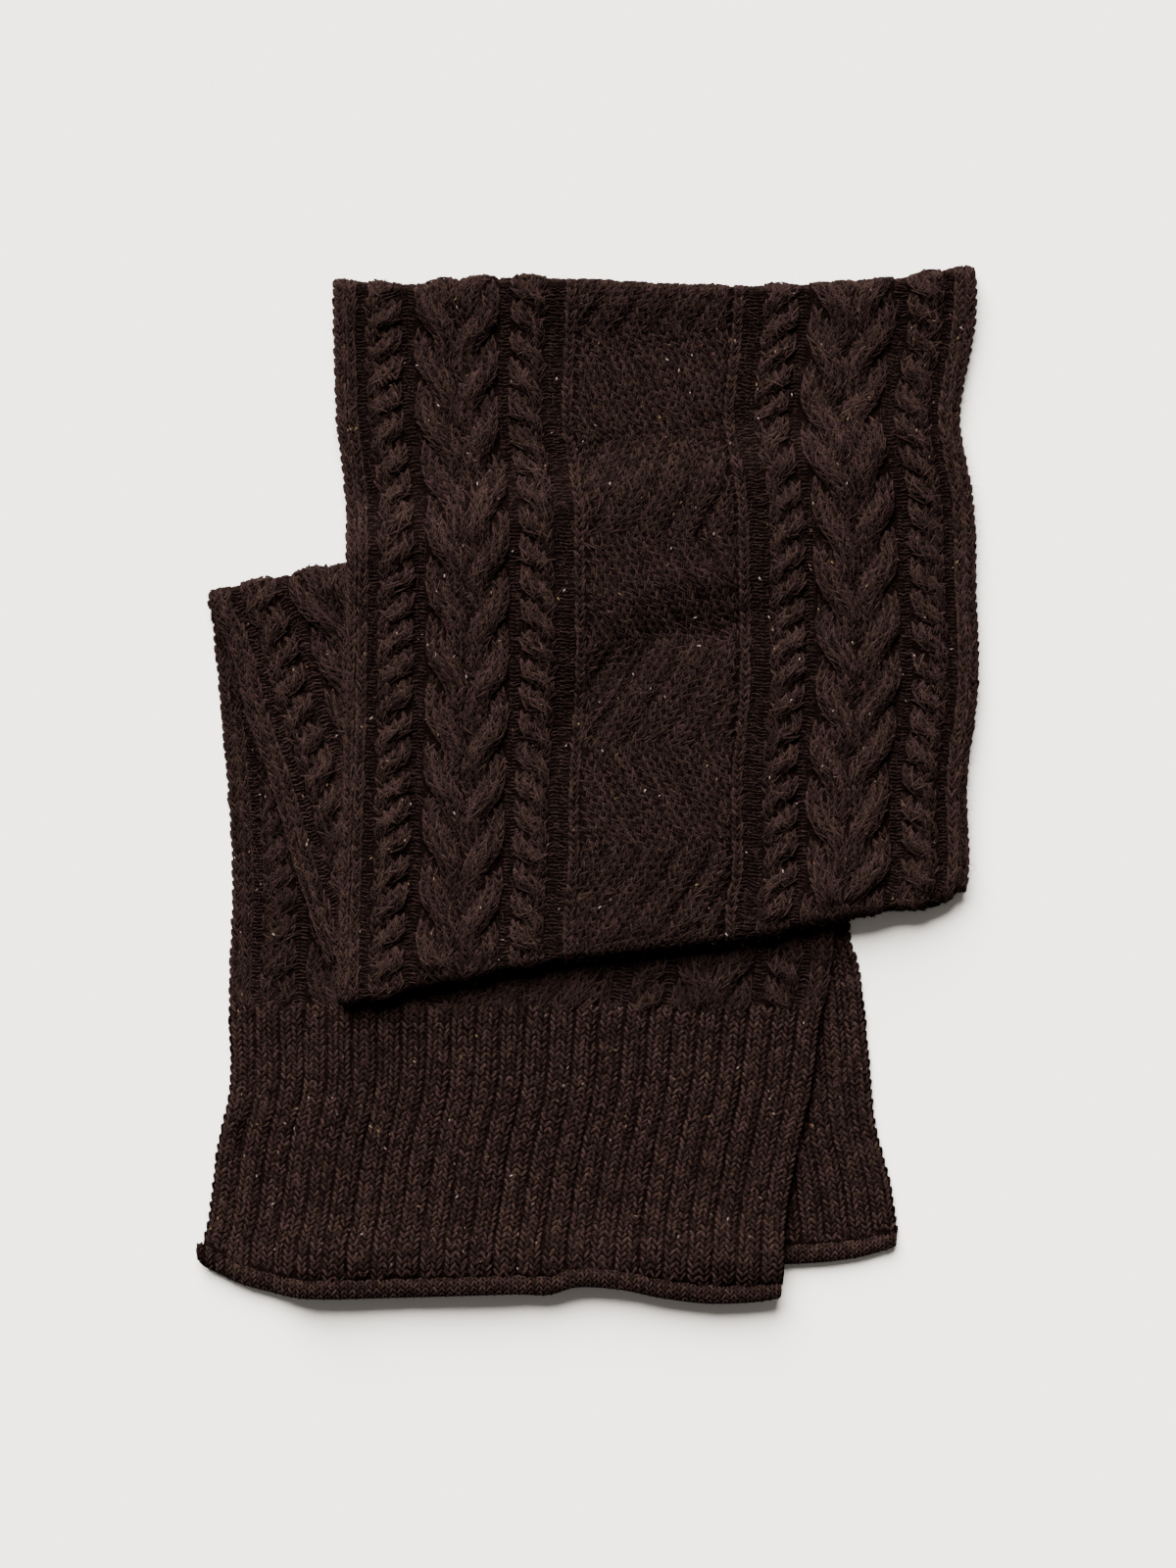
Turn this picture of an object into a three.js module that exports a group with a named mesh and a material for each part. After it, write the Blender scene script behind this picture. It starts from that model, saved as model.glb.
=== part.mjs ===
// A cable-knit wool scarf, folded in zigzag and laid flat on a table. Millimetres, +Z up.
// The cloth is one long strip. From the table up it lies as a back stretch, a front stretch, a slanting stretch
// and a top stretch, joined by round folds. Both ends are ribbed and finish in a rolled edge.
import * as THREE from "three";

// The cloth
const GROUND = 3; // thickness of the plain ground between the cables
const HALF = GROUND / 2;
const PRESSED = 1.8; // what the cables add where another stretch lies on them
const GAP = 0.3; // between two pieces that touch
const STEP_UP = GROUND + PRESSED + GAP; // from one stretch to the next
const RIM = 0.6; // share of the thickness that is left at a side edge
const YARN = "#35261f";

// The bands of knitting from a side edge to the middle zigzag: width, crossing pitch, lean (+1 is /), height, steps
const HALF_BANDS = [
  { kind: "column", width: 12, height: 1.6, steps: 2 },
  { kind: "purl", width: 5.3, height: 0, steps: 1 },
  { kind: "rope", width: 19.4, pitch: 16.2, lean: 1, height: 3.1, steps: 4 },
  { kind: "purl", width: 6.5, height: 0, steps: 1 },
  { kind: "rope", width: 23.2, pitch: 32.4, lean: -1, height: 3.6, steps: 4 },
  { kind: "rope", width: 23.2, pitch: 32.4, lean: 1, height: 3.6, steps: 4 },
  { kind: "purl", width: 5.4, height: 0, steps: 1 },
  { kind: "rope", width: 19, pitch: 16.2, lean: -1, height: 3.1, steps: 4 },
  { kind: "purl", width: 10.7, height: 0, steps: 1 },
  { kind: "column", width: 6, height: 1.6, steps: 2 },
];
const ZIGZAG = { kind: "zigzag", width: 84, height: 1.9, steps: 8 };
const ZIGZAG_PERIOD = 113.4; // along the scarf
const ZIGZAG_SWING = 13.5; // to each side
const ZIGZAG_WALE = 21; // between two slanting lines
const ZIGZAG_GROOVE = 1;
const BANDS = [
  ...HALF_BANDS,
  ZIGZAG,
  ...HALF_BANDS.map((band) => ({ ...band, lean: band.kind === "rope" ? -band.lean : 0 })).reverse(),
];
const CLOTH_WIDTH = BANDS.reduce((sum, band) => sum + band.width, 0);
const ROPE_STRAND = 0.32; // a strand's half width, as a share of its rope's width
const ROPE_SWING = 0.22; // how far a strand swings from the rope's middle, as the same share
const ROPE_DIP = 0.3; // how much lower a strand is where it passes under, as a share of the height
const RIB_COUNT = 24;
const RIB_STEPS = 3; // columns of points in one rib
const RIB_HEIGHT = 1.8;
const RIB_START = 8; // length over which the cables run out into the ribs

// The folds: how much each puffs up over the stretches that it joins, and how far that reaches
const TOP_PUFF = 3.4;
const LOW_PUFF = 2.4;
const INNER_PUFF = 1.4;
const PUFF_REACH = 42;
const BEND_STEPS = 5;
const RETURN = 11; // how far the cloth runs back under a fold before the hidden stretches take over
const FOLD_ROOM = 22; // from a fold's outermost line to the hidden stretches

// Side edges of each stretch
const TOP_EDGES = [
  { y: 287, left: -139, right: 213.5 },
  { y: 254, left: -140, right: 213 },
  { y: 216, left: -138.8, right: 206 },
  { y: 198, left: -138, right: 204.8 },
  { y: 156, left: -133, right: 212 },
  { y: 108, left: -132.3, right: 213.6 },
  { y: 54, left: -132.8, right: 214.6 },
  { y: 3, left: -133.9, right: 208.4 },
  { y: -54, left: -135.5, right: 209.2 },
  { y: -125, left: -137.5, right: 205 },
];
const SLANT_EDGE = [
  { y: 107, left: -207.2 },
  { y: 84, left: -199.3 },
  { y: 58, left: -195.5 },
  { y: 39, left: -189.5 },
  { y: -4, left: -173.9 },
  { y: -43, left: -163.1 },
  { y: -82, left: -150.1 },
  { y: -101, left: -143.6 },
];
const SLANT_RISE = 0.19; // how much a row of the slanting stretch climbs to the right
const FRONT_EDGES = [
  { y: 180, left: -209, right: 131 },
  { y: 103, left: -207.9, right: 132 },
  { y: 48, left: -203, right: 133 },
  { y: -16, left: -197.6, right: 134 },
  { y: -59, left: -196, right: 135 },
  { y: -103, left: -197.6, right: 134 },
  { y: -130, left: -198, right: 128.5 },
  { y: -167, left: -197.6, right: 123.7 },
  { y: -200, left: -204.5, right: 116.5 },
  { y: -240, left: -209.5, right: 109.4 },
  { y: -290, left: -213.5, right: 106.5 },
];
const BACK_EDGES = [
  { y: 287, left: -136, right: 210 },
  { y: 216, left: -134, right: 202 },
  { y: 157, left: -129, right: 206 },
  { y: 108, left: -122, right: 205 },
  { y: 54, left: -118, right: 196 },
  { y: 0, left: -116, right: 174 },
  { y: -54, left: -116, right: 151 },
  { y: -81, left: -117, right: 144 },
  { y: -103, left: -121, right: 149.6 },
  { y: -146, left: -130, right: 154.4 },
  { y: -189, left: -139, right: 158.8 },
  { y: -222, left: -145, right: 167 },
  { y: -270, left: -151, right: 173.5 },
];
const STRIP_SHARE = 0.25; // share of the front stretch's width that the hidden stretches leave free on the left

// Outermost lines of the folds, and the middle lines of the rolled hems, from left (0) to right (1)
const TOP_FOLD = [
  { across: 0, y: 279.7 },
  { across: 0.12, y: 276.5 },
  { across: 0.3, y: 280.2 },
  { across: 0.55, y: 275.8 },
  { across: 0.79, y: 277 },
  { across: 0.9, y: 281.3 },
  { across: 0.97, y: 286 },
  { across: 1, y: 284 },
];
const LOW_FOLD = [
  { across: 0, y: -122.4 },
  { across: 0.07, y: -119.6 },
  { across: 0.15, y: -111.6 },
  { across: 0.34, y: -99.9 },
  { across: 0.56, y: -90 },
  { across: 0.68, y: -85.6 },
  { across: 0.79, y: -76.4 },
  { across: 0.93, y: -73 },
  { across: 1, y: -62.5 },
];
const FRONT_HEM = [
  { across: 0, y: -258.5 },
  { across: 0.05, y: -268.5 },
  { across: 0.11, y: -274.5 },
  { across: 0.18, y: -278 },
  { across: 0.33, y: -277.5 },
  { across: 0.54, y: -275.6 },
  { across: 0.6, y: -276 },
  { across: 0.645, y: -271.8 },
  { across: 0.72, y: -273 },
  { across: 0.79, y: -277.6 },
  { across: 0.87, y: -280.8 },
  { across: 0.95, y: -280.6 },
  { across: 1, y: -278.6 },
];
const BACK_HEM = [
  { across: 0, y: -258 },
  { across: 0.5, y: -261 },
  { across: 0.8, y: -260.3 },
  { across: 0.92, y: -257.4 },
  { across: 1, y: -251.5 },
];
const INNER_FOLD = { x: -207.4, y: 107, slope: 0.197, curl: 0.8 }; // the slanting stretch's upper fold
const FRONT_RIB_TOP = -119; // where the cables end and the ribs begin
const BACK_RIB_TOP = -104;
const ROLL_WIDTH = 10.2;
const ROLL_HEIGHT = 7.6;
const ROLL_SIDES = 8;
const ROLL_STEPS = 24;

// Soft troughs (depth below 0) and ridges in the lie of the cloth, each on one stretch
const CREASES = [
  { on: "top", x: 54, y: 92, length: 66, width: 13, depth: -1.6, turn: 0.28 },
  { on: "top", x: 60, y: -30, length: 110, width: 30, depth: 1.4, turn: 0.2 },
  { on: "top", x: 120, y: 222, length: 120, width: 24, depth: 1.3, turn: 0.12 },
  { on: "top", x: -70, y: 150, length: 90, width: 26, depth: 1.2, turn: 1.3 },
  { on: "front", x: -60, y: -205, length: 110, width: 24, depth: 1.4, turn: 1.45 },
  { on: "front", x: 70, y: -190, length: 90, width: 22, depth: 1.2, turn: 1.7 },
];
// Where the front hem stands up from what it lies on
const HEM_WAVES = [
  { x: -150, width: 46, height: 3.4 },
  { x: -66, width: 34, height: 1.8 },
  { x: 78, width: 40, height: 2.6 },
];
const HEM_WAVE_REACH = 70;
const OVER_ROLL = 4.9; // how much the front end climbs to pass over the back hem

const clamp01 = (value) => Math.min(1, Math.max(0, value));
const smooth = (value) => clamp01(value) ** 2 * (3 - 2 * clamp01(value));
const mix = (a, b, share) => a + (b - a) * share;
const range = (count) => Array.from({ length: count }, (_, k) => k);

// A smooth curve through the rows of a table, read at one value of the column that the rows are sorted by
function read(table, by, at, column) {
  const falling = table[0][by] > table[table.length - 1][by];
  const rows = falling ? [...table].reverse() : table;
  const last = rows.length - 1;
  if (at <= rows[0][by]) return rows[0][column];
  if (at >= rows[last][by]) return rows[last][column];
  const i = rows.findIndex((row) => row[by] > at) - 1;
  const slope = (k) => {
    const a = rows[Math.max(0, k - 1)];
    const b = rows[Math.min(last, k + 1)];
    return (b[column] - a[column]) / (b[by] - a[by]);
  };
  const span = rows[i + 1][by] - rows[i][by];
  const u = (at - rows[i][by]) / span;
  const start = rows[i][column] * (1 + 2 * u) * (1 - u) ** 2 + span * slope(i) * u * (1 - u) ** 2;
  const end = rows[i + 1][column] * u ** 2 * (3 - 2 * u) + span * slope(i + 1) * u ** 2 * (u - 1);
  return start + end;
}

const leftOf = (edges, y) => read(edges, "y", y, "left");
const rightOf = (edges, y) => read(edges, "y", y, "right");
const lineOf = (line, across) => read(line, "across", clamp01(across), "y");
const acrossOf = (edges, x, y) => (x - leftOf(edges, y)) / (rightOf(edges, y) - leftOf(edges, y));
const innerFoldAt = (x) =>
  INNER_FOLD.y + INNER_FOLD.slope * (x - INNER_FOLD.x) + INNER_FOLD.curl * smooth((x - INNER_FOLD.x) / 30);
const topFoldAt = (x) => lineOf(TOP_FOLD, acrossOf(TOP_EDGES, x, 280));
const lowFoldAt = (x) => lineOf(LOW_FOLD, acrossOf(TOP_EDGES, x, -90));
const seamAt = (y) => mix(leftOf(FRONT_EDGES, y), rightOf(FRONT_EDGES, y), STRIP_SHARE);
const slantRightAt = (y) => 131 + (174 - y) * 0.323;

// How fully each lower stretch lifts what lies over a plan point: 1 inside its edge, falling softly to 0 outside it
const shade = (inside, reach) => smooth(1 + (inside + 2) / reach);
const SIDE_DROP = 26;
const FAR_DROP = 90;
const coverBack = (x, y) =>
  shade(x - leftOf(BACK_EDGES, y), SIDE_DROP) *
  shade(rightOf(BACK_EDGES, y) - x, FAR_DROP) *
  shade(y - lineOf(BACK_HEM, 0.5) + ROLL_WIDTH / 2, SIDE_DROP);
const coverFront = (x, y) =>
  shade(x - leftOf(FRONT_EDGES, y), SIDE_DROP) *
  shade(rightOf(FRONT_EDGES, y) - x, FAR_DROP) *
  shade(innerFoldAt(x) - y, 36);
const coverSlant = (x, y) =>
  shade(x - leftOf(SLANT_EDGE, y), SIDE_DROP) *
  shade(slantRightAt(y) - x, FAR_DROP * 0.7) *
  shade(innerFoldAt(x) - y, 36);

const creases = (stretch, x, y) =>
  CREASES.filter((crease) => crease.on === stretch).reduce((sum, crease) => {
    const [dx, dy] = [x - crease.x, y - crease.y];
    const along = dx * Math.cos(crease.turn) + dy * Math.sin(crease.turn);
    const beside = dy * Math.cos(crease.turn) - dx * Math.sin(crease.turn);
    const off = ((2 * along) / crease.length) ** 2 + (beside / crease.width) ** 2;
    return sum + crease.depth * Math.exp(-off);
  }, 0);
const hemLift = (x, y) =>
  HEM_WAVES.reduce((sum, wave) => sum + wave.height * Math.exp(-(((x - wave.x) / wave.width) ** 2)), 0) *
    smooth((-y - 270 + HEM_WAVE_REACH) / HEM_WAVE_REACH) +
  OVER_ROLL * coverBack(x, -250) * Math.exp(-(((y - lineOf(BACK_HEM, 0.5)) / 15) ** 2));
const near = (distance) => smooth(1 - Math.abs(distance) / PUFF_REACH);

// Height of the middle of the cloth's ground on each stretch
const backHeight = () => HALF;
const frontHeight = (x, y) =>
  HALF + STEP_UP * coverBack(x, y) + hemLift(x, y) + Math.max(0, creases("front", x, y)) * smooth((-y - 130) / 30);
const slantHeight = (x, y) =>
  HALF + STEP_UP * (coverBack(x, y) + coverFront(x, y)) + INNER_PUFF * near(innerFoldAt(x) - y);
const topHeight = (x, y) =>
  HALF +
  STEP_UP * (coverBack(x, y) + coverFront(x, y) + coverSlant(x, y)) +
  INNER_PUFF * near(innerFoldAt(x) - y) * coverSlant(x, y) +
  TOP_PUFF * near(topFoldAt(x) - y) +
  LOW_PUFF * near(lowFoldAt(x) - y) +
  creases("top", x, y);

// Height of the knitting over the ground. A rope is two strands that swing across it and pass over each other.
function ropeRelief(band, inside, along) {
  const turn = (Math.PI * along) / band.pitch;
  return [turn, turn + Math.PI].reduce((top, angle) => {
    const strand = band.width * (0.5 + band.lean * ROPE_SWING * Math.cos(angle));
    const off = (inside - strand) / (ROPE_STRAND * band.width);
    const over = 1 - ROPE_DIP * (1 - Math.sin(angle));
    return Math.max(top, band.height * over * Math.max(0, 1 - off * off) ** 0.4);
  }, 0);
}

function zigzagRelief(band, inside, along) {
  const phase = Math.abs(((((along / ZIGZAG_PERIOD) % 1) + 1) % 1) * 2 - 1);
  const swung = inside + ZIGZAG_SWING * (2 * phase - 1);
  const groove = Math.abs(Math.cos((Math.PI * swung) / ZIGZAG_WALE)) ** 4;
  const edge = smooth((inside / band.width) * 8) * smooth((1 - inside / band.width) * 8);
  return (band.height - ZIGZAG_GROOVE * groove) * edge;
}

function cableRelief(share, along) {
  let start = 0;
  for (const band of BANDS) {
    const inside = share * CLOTH_WIDTH - start;
    if (inside <= band.width) {
      if (band.kind === "rope") return ropeRelief(band, inside, along);
      if (band.kind === "zigzag") return zigzagRelief(band, inside, along);
      return band.height * Math.max(0, Math.sin(Math.PI * (inside / band.width))) ** 0.5;
    }
    start += band.width;
  }
  return 0;
}

const ribRelief = (share) => RIB_HEIGHT * Math.abs(Math.sin(Math.PI * RIB_COUNT * share)) ** 0.5;
const endRelief = (share, y, ribTop, pressed) => {
  const ribbed = smooth((ribTop - y) / RIB_START);
  return mix(pressed * cableRelief(share, -y), ribRelief(share), ribbed);
};
const FLATTENED = 0.36; // share of a cable's height that is left where another stretch lies on it
const pressedBy = (inside) => mix(1, FLATTENED, smooth((inside + 9) / 8));

// Shares of the width at which a cable stretch has a column of points
const CABLE_COLUMNS = [0];
BANDS.reduce((start, band) => {
  for (const k of range(band.steps)) CABLE_COLUMNS.push((start + (band.width * (k + 1)) / band.steps) / CLOTH_WIDTH);
  return start + band.width;
}, 0);

// A node of a stretch: a place on the middle of the cloth and the height of the knitting there
const knot = (x, y, z, relief) => ({ at: new THREE.Vector3(x, y, z), relief });

// A half-round fold past a row of knots, turned outward and down to the height lowAt(x, y), and the run back under it
function foldRows(row, sign, lowAt, reliefAt) {
  const rows = range(BEND_STEPS).map((k) =>
    row.map(({ at }, j) => {
      const turned = (Math.PI * (k + 1)) / BEND_STEPS;
      const radius = (at.z - lowAt(at.x, at.y)) / 2;
      const fade = smooth(1 - (turned - Math.PI / 2) / 1.1);
      const relief = reliefAt(j, radius * turned) * fade;
      const out = sign * radius * Math.sin(turned);
      return knot(at.x, at.y + out, at.z - radius * (1 - Math.cos(turned)), relief);
    }),
  );
  rows.push(
    row.map(({ at }) => {
      const y = at.y - sign * RETURN;
      return knot(at.x, y, lowAt(at.x, y), 0);
    }),
  );
  return rows;
}

const every = (step, count) => range(Math.ceil(count / step) + 1).map((k) => k * step);

// Closes rows of knots into a wall with a raised outer face and a plain, sparser inner face on the rows and columns
// that `inner` names. Rows above `notch.row` stop at the column `notch.column`, which gives an L.
function wall(rows, inner, notch) {
  const last = rows.length - 1;
  const wide = rows[last].length - 1;
  const endOf = (i) => (notch && i < notch.row ? notch.column : wide);
  const has = (i, j) => i >= 0 && i <= last && j >= 0 && j <= endOf(i);
  const toward = (i, j, di, dj) => (has(i + di, j + dj) ? rows[i + di][j + dj].at : rows[i][j].at);
  const positions = [];
  const indices = [];
  const points = new Map();
  const corner = (i, j, outer) => {
    const key = `${i},${j},${outer}`;
    if (!points.has(key)) {
      const across = new THREE.Vector3().subVectors(toward(i, j, 0, 1), toward(i, j, 0, -1));
      const down = new THREE.Vector3().subVectors(toward(i, j, 1, 0), toward(i, j, -1, 0));
      const normal = new THREE.Vector3().crossVectors(down, across).normalize();
      const side = j === 0 || j === endOf(i) ? RIM : 1;
      const offset = outer ? (HALF + rows[i][j].relief) * side : -HALF * side;
      const point = rows[i][j].at.clone().addScaledVector(normal, offset);
      positions.push(point.x, point.y, Math.max(0, point.z));
      points.set(key, positions.length / 3 - 1);
    }
    return points.get(key);
  };
  const kept = (count, list, extra) =>
    range(count + 1).filter((k) => k === 0 || k === count || k === extra || list.includes(k));
  const cells = (is, js, outer) => {
    for (let a = 0; a < is.length - 1; a++)
      for (let b = 0; b < js.length - 1 && js[b + 1] <= endOf(is[a]); b++) {
        const [i, j, ni, nj] = [is[a], js[b], is[a + 1], js[b + 1]];
        const [p, q] = [corner(i, j, outer), corner(i, nj, outer)];
        const [r, s] = [corner(ni, j, outer), corner(ni, nj, outer)];
        if (outer) indices.push(p, r, q, q, r, s);
        else indices.push(p, q, r, q, s, r);
      }
  };
  const innerRows = kept(last, inner.rows, notch?.row);
  const innerColumns = kept(wide, inner.columns, notch?.column);
  cells(range(last + 1), range(wide + 1), true);
  cells(innerRows, innerColumns, false);

  // Walks the rim once, with the points of the inner face a subset of those of the outer face
  const turns = notch
    ? [[0, 0], [0, notch.column], [notch.row, notch.column], [notch.row, wide], [last, wide], [last, 0], [0, 0]]
    : [[0, 0], [0, wide], [last, wide], [last, 0], [0, 0]];
  const rim = [];
  turns.slice(1).forEach(([i, j], k) => {
    const [fi, fj] = turns[k];
    const length = Math.abs(i - fi) + Math.abs(j - fj);
    for (const n of range(length)) rim.push([fi + (Math.sign(i - fi) * n), fj + (Math.sign(j - fj) * n)]);
  });
  const ring = [...rim, rim[0]];
  const stops = range(ring.length).filter((k) => {
    const [i, j] = ring[k];
    return innerRows.includes(i) && innerColumns.includes(j);
  });
  stops.slice(1).forEach((stop, m) => {
    const from = stops[m];
    const half = Math.ceil((from + stop) / 2);
    const plain = [corner(...ring[from], false), corner(...ring[stop], false)];
    for (let k = from; k < stop; k++) {
      const [a, b] = [corner(...ring[k], true), corner(...ring[k + 1], true)];
      indices.push(a, b, k < half ? plain[0] : plain[1]);
    }
    indices.push(corner(...ring[half], true), plain[1], plain[0]);
  });
  return solid(positions, indices);
}

function solid(positions, indices) {
  const geometry = new THREE.BufferGeometry();
  geometry.setAttribute("position", new THREE.Float32BufferAttribute(positions, 3));
  geometry.setIndex(indices);
  geometry.computeVertexNormals();
  return geometry;
}

// The top stretch, from the run back under the far fold, over it, down the middle and round the near fold
const TOP_ROWS = 66;
const TOP_INNER = [2, 4, 8, 13, 19, 25, 31, 37, 43, 48, 52, 54];
function topPanel() {
  const farRow = (x) => topFoldAt(x) - (STEP_UP + TOP_PUFF) / 2 - HALF - 1.2;
  const nearRow = (x) => lowFoldAt(x) + (STEP_UP + LOW_PUFF) / 2 + HALF + 1.2;
  const body = range(TOP_ROWS + 1).map((k) =>
    CABLE_COLUMNS.map((share) => {
      const guess = mix(-134, 209, share);
      const y = mix(farRow(guess), nearRow(guess), k / TOP_ROWS);
      const x = mix(leftOf(TOP_EDGES, y), rightOf(TOP_EDGES, y), share);
      return knot(x, y, topHeight(x, y), cableRelief(share, 277 - y));
    }),
  );
  const far = foldRows(body[0], 1, backHeight, (j, arc) => cableRelief(CABLE_COLUMNS[j], 277 - body[0][j].at.y - arc));
  const lowest = body[TOP_ROWS];
  const under = (x, y) => HALF + STEP_UP * (coverBack(x, y) + coverFront(x, y));
  const low = foldRows(lowest, -1, under, (j, arc) => cableRelief(CABLE_COLUMNS[j], 277 - lowest[j].at.y + arc));
  const inner = { rows: [1, 2, 3, 4, 5, 6, 9, ...every(5, 70).slice(3), 69, 72, 73, 74, 75, 76, 77], columns: TOP_INNER };
  return wall([...far.reverse(), ...body, ...low], inner);
}

// The slanting stretch, from the run back under its own fold to the near fold, as far as the hidden stretches
const SLANT_ROWS = 34;
const SLANT_COLUMNS = 16;
function slantStretch() {
  const upper = INNER_FOLD.y - (STEP_UP + INNER_PUFF) / 2 - HALF - 1.2;
  const body = range(SLANT_ROWS + 1).map((k) =>
    range(SLANT_COLUMNS + 1).map((j) => {
      const y0 = mix(upper, -98, k / SLANT_ROWS);
      const left = leftOf(SLANT_EDGE, y0);
      const wide = seamAt(y0 + SLANT_RISE * (seamAt(y0) - left)) - left;
      const x = left + (wide * j) / SLANT_COLUMNS;
      const curl = INNER_FOLD.curl * smooth((x - INNER_FOLD.x) / 30) * smooth(1 - (upper - y0) / 40);
      const y = y0 + SLANT_RISE * (x - left) + curl;
      const pressed = pressedBy(x - leftOf(TOP_EDGES, y));
      return knot(x, y, slantHeight(x, y), pressed * cableRelief((x - left) / CLOTH_WIDTH, upper - y0));
    }),
  );
  const fold = foldRows(body[0], 1, frontHeight, (j, arc) => {
    const knotAt = body[0][j].at;
    return pressedBy(knotAt.x - leftOf(TOP_EDGES, knotAt.y)) * cableRelief((knotAt.x - body[0][0].at.x) / CLOTH_WIDTH, -arc);
  });
  return wall([...fold.reverse(), ...body], { rows: [1, 2, 3, 4, 5, 6, ...every(5, 40)], columns: every(3, SLANT_COLUMNS) });
}

// Where the ends come out from under the near fold
const endTop = (x) => lowFoldAt(Math.max(x, seamAt(-100))) + FOLD_ROOM - 3.2;

// The front stretch: a strip of cables down the left, and the whole ribbed end below the near fold
const STRIP_ROWS = 33;
const END_ROWS = 11;
function frontEnd() {
  const columns = range(RIB_COUNT * RIB_STEPS + 1);
  const stripEnd = Math.round(columns.length * STRIP_SHARE);
  const shareOf = (j) => j / (columns.length - 1);
  const knotAt = (share, y, pressed) => {
    const x = mix(leftOf(FRONT_EDGES, y), rightOf(FRONT_EDGES, y), share);
    return knot(x, y, frontHeight(x, y), endRelief(share, y, FRONT_RIB_TOP, pressed(x)));
  };
  const strip = range(STRIP_ROWS).map((k) =>
    columns.slice(0, stripEnd + 1).map((j) => {
      const share = shareOf(j);
      const x = mix(-207.5, 132, share);
      const from = innerFoldAt(x) - RETURN - (STEP_UP + INNER_PUFF) / 2 - HALF - 1.2 - 5 * GAP;
      const y = mix(from, endTop(-118), k / STRIP_ROWS);
      return knotAt(share, y, (at) => pressedBy(at - leftOf(SLANT_EDGE, y)));
    }),
  );
  const end = range(END_ROWS + 1).map((k) =>
    columns.map((j) => {
      const share = shareOf(j);
      const y = mix(endTop(mix(-197.6, 134, share)), lineOf(FRONT_HEM, share) + ROLL_WIDTH / 2 + 5 * GAP, k / END_ROWS);
      return knotAt(share, y, () => FLATTENED);
    }),
  );
  const inner = { rows: [...every(5, STRIP_ROWS), ...every(2, END_ROWS).map((k) => STRIP_ROWS + k)], columns: every(6, 72) };
  return wall([...strip, ...end], inner, { row: STRIP_ROWS, column: stripEnd });
}

// The back stretch's ribbed end, plain where the front end covers it
const BACK_ROWS = 11;
const BACK_PLAIN_COLUMNS = 6;
const BACK_RIBBED_FROM = 0.75;
function backEnd() {
  const plain = range(BACK_PLAIN_COLUMNS).map((k) => (BACK_RIBBED_FROM * k) / BACK_PLAIN_COLUMNS);
  const ribbed = range((RIB_COUNT * RIB_STEPS) / 4 + 1).map((k) => BACK_RIBBED_FROM + k / (RIB_COUNT * RIB_STEPS));
  const rows = range(BACK_ROWS + 1).map((k) =>
    [...plain, ...ribbed].map((share) => {
      const guess = mix(-121, 148, share);
      const y = mix(endTop(guess), lineOf(BACK_HEM, share) + ROLL_WIDTH / 2 + GAP, k / BACK_ROWS);
      const x = mix(leftOf(BACK_EDGES, y), rightOf(BACK_EDGES, y), share);
      const relief = share < BACK_RIBBED_FROM ? 0 : ribRelief(share) * smooth((BACK_RIB_TOP - y) / RIB_START);
      return knot(x, y, backHeight(), relief);
    }),
  );
  return wall(rows, { rows: every(4, BACK_ROWS), columns: every(4, 24) });
}

// A rolled hem: a flattened tube along the end, a little smaller at its two tips, the left one past the edge by `tip`
function hemRoll(line, edges, heightAt, tip) {
  const rings = range(ROLL_STEPS + 1).map((k) => {
    const share = k / ROLL_STEPS;
    const y = lineOf(line, share);
    const x = mix(leftOf(edges, y) - tip, rightOf(edges, y) - 0.5, share);
    const size = 0.55 + 0.45 * Math.min(1, 6 * Math.min(share, 1 - share) + 0.25) ** 0.5;
    const z = heightAt(x, y + ROLL_WIDTH / 2) - HALF + (ROLL_HEIGHT / 2) * size;
    return range(ROLL_SIDES).map((n) => {
      const angle = (2 * Math.PI * (n + 0.5)) / ROLL_SIDES;
      const up = ((ROLL_HEIGHT / 2) * size * Math.sin(angle)) / Math.cos(Math.PI / ROLL_SIDES);
      return [x, y + (ROLL_WIDTH / 2) * size * Math.cos(angle), Math.max(0, z + up)];
    });
  });
  return loft(rings);
}

// Closes rings of points, each running anticlockwise as seen along the loft, with a fan over each end
function loft(rings) {
  const positions = rings.flat(2);
  const sides = rings[0].length;
  const indices = [];
  for (const k of range(rings.length - 1))
    for (const n of range(sides)) {
      const next = (n + 1) % sides;
      const [a, b, c, d] = [k * sides + n, k * sides + next, (k + 1) * sides + n, (k + 1) * sides + next];
      indices.push(a, b, c, b, d, c);
    }
  for (const [k, flip] of [[0, true], [rings.length - 1, false]])
    for (const n of range(sides - 2)) {
      const [a, b, c] = [k * sides, k * sides + n + 1, k * sides + n + 2];
      indices.push(a, flip ? c : b, flip ? b : c);
    }
  return solid(positions, indices);
}

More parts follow.
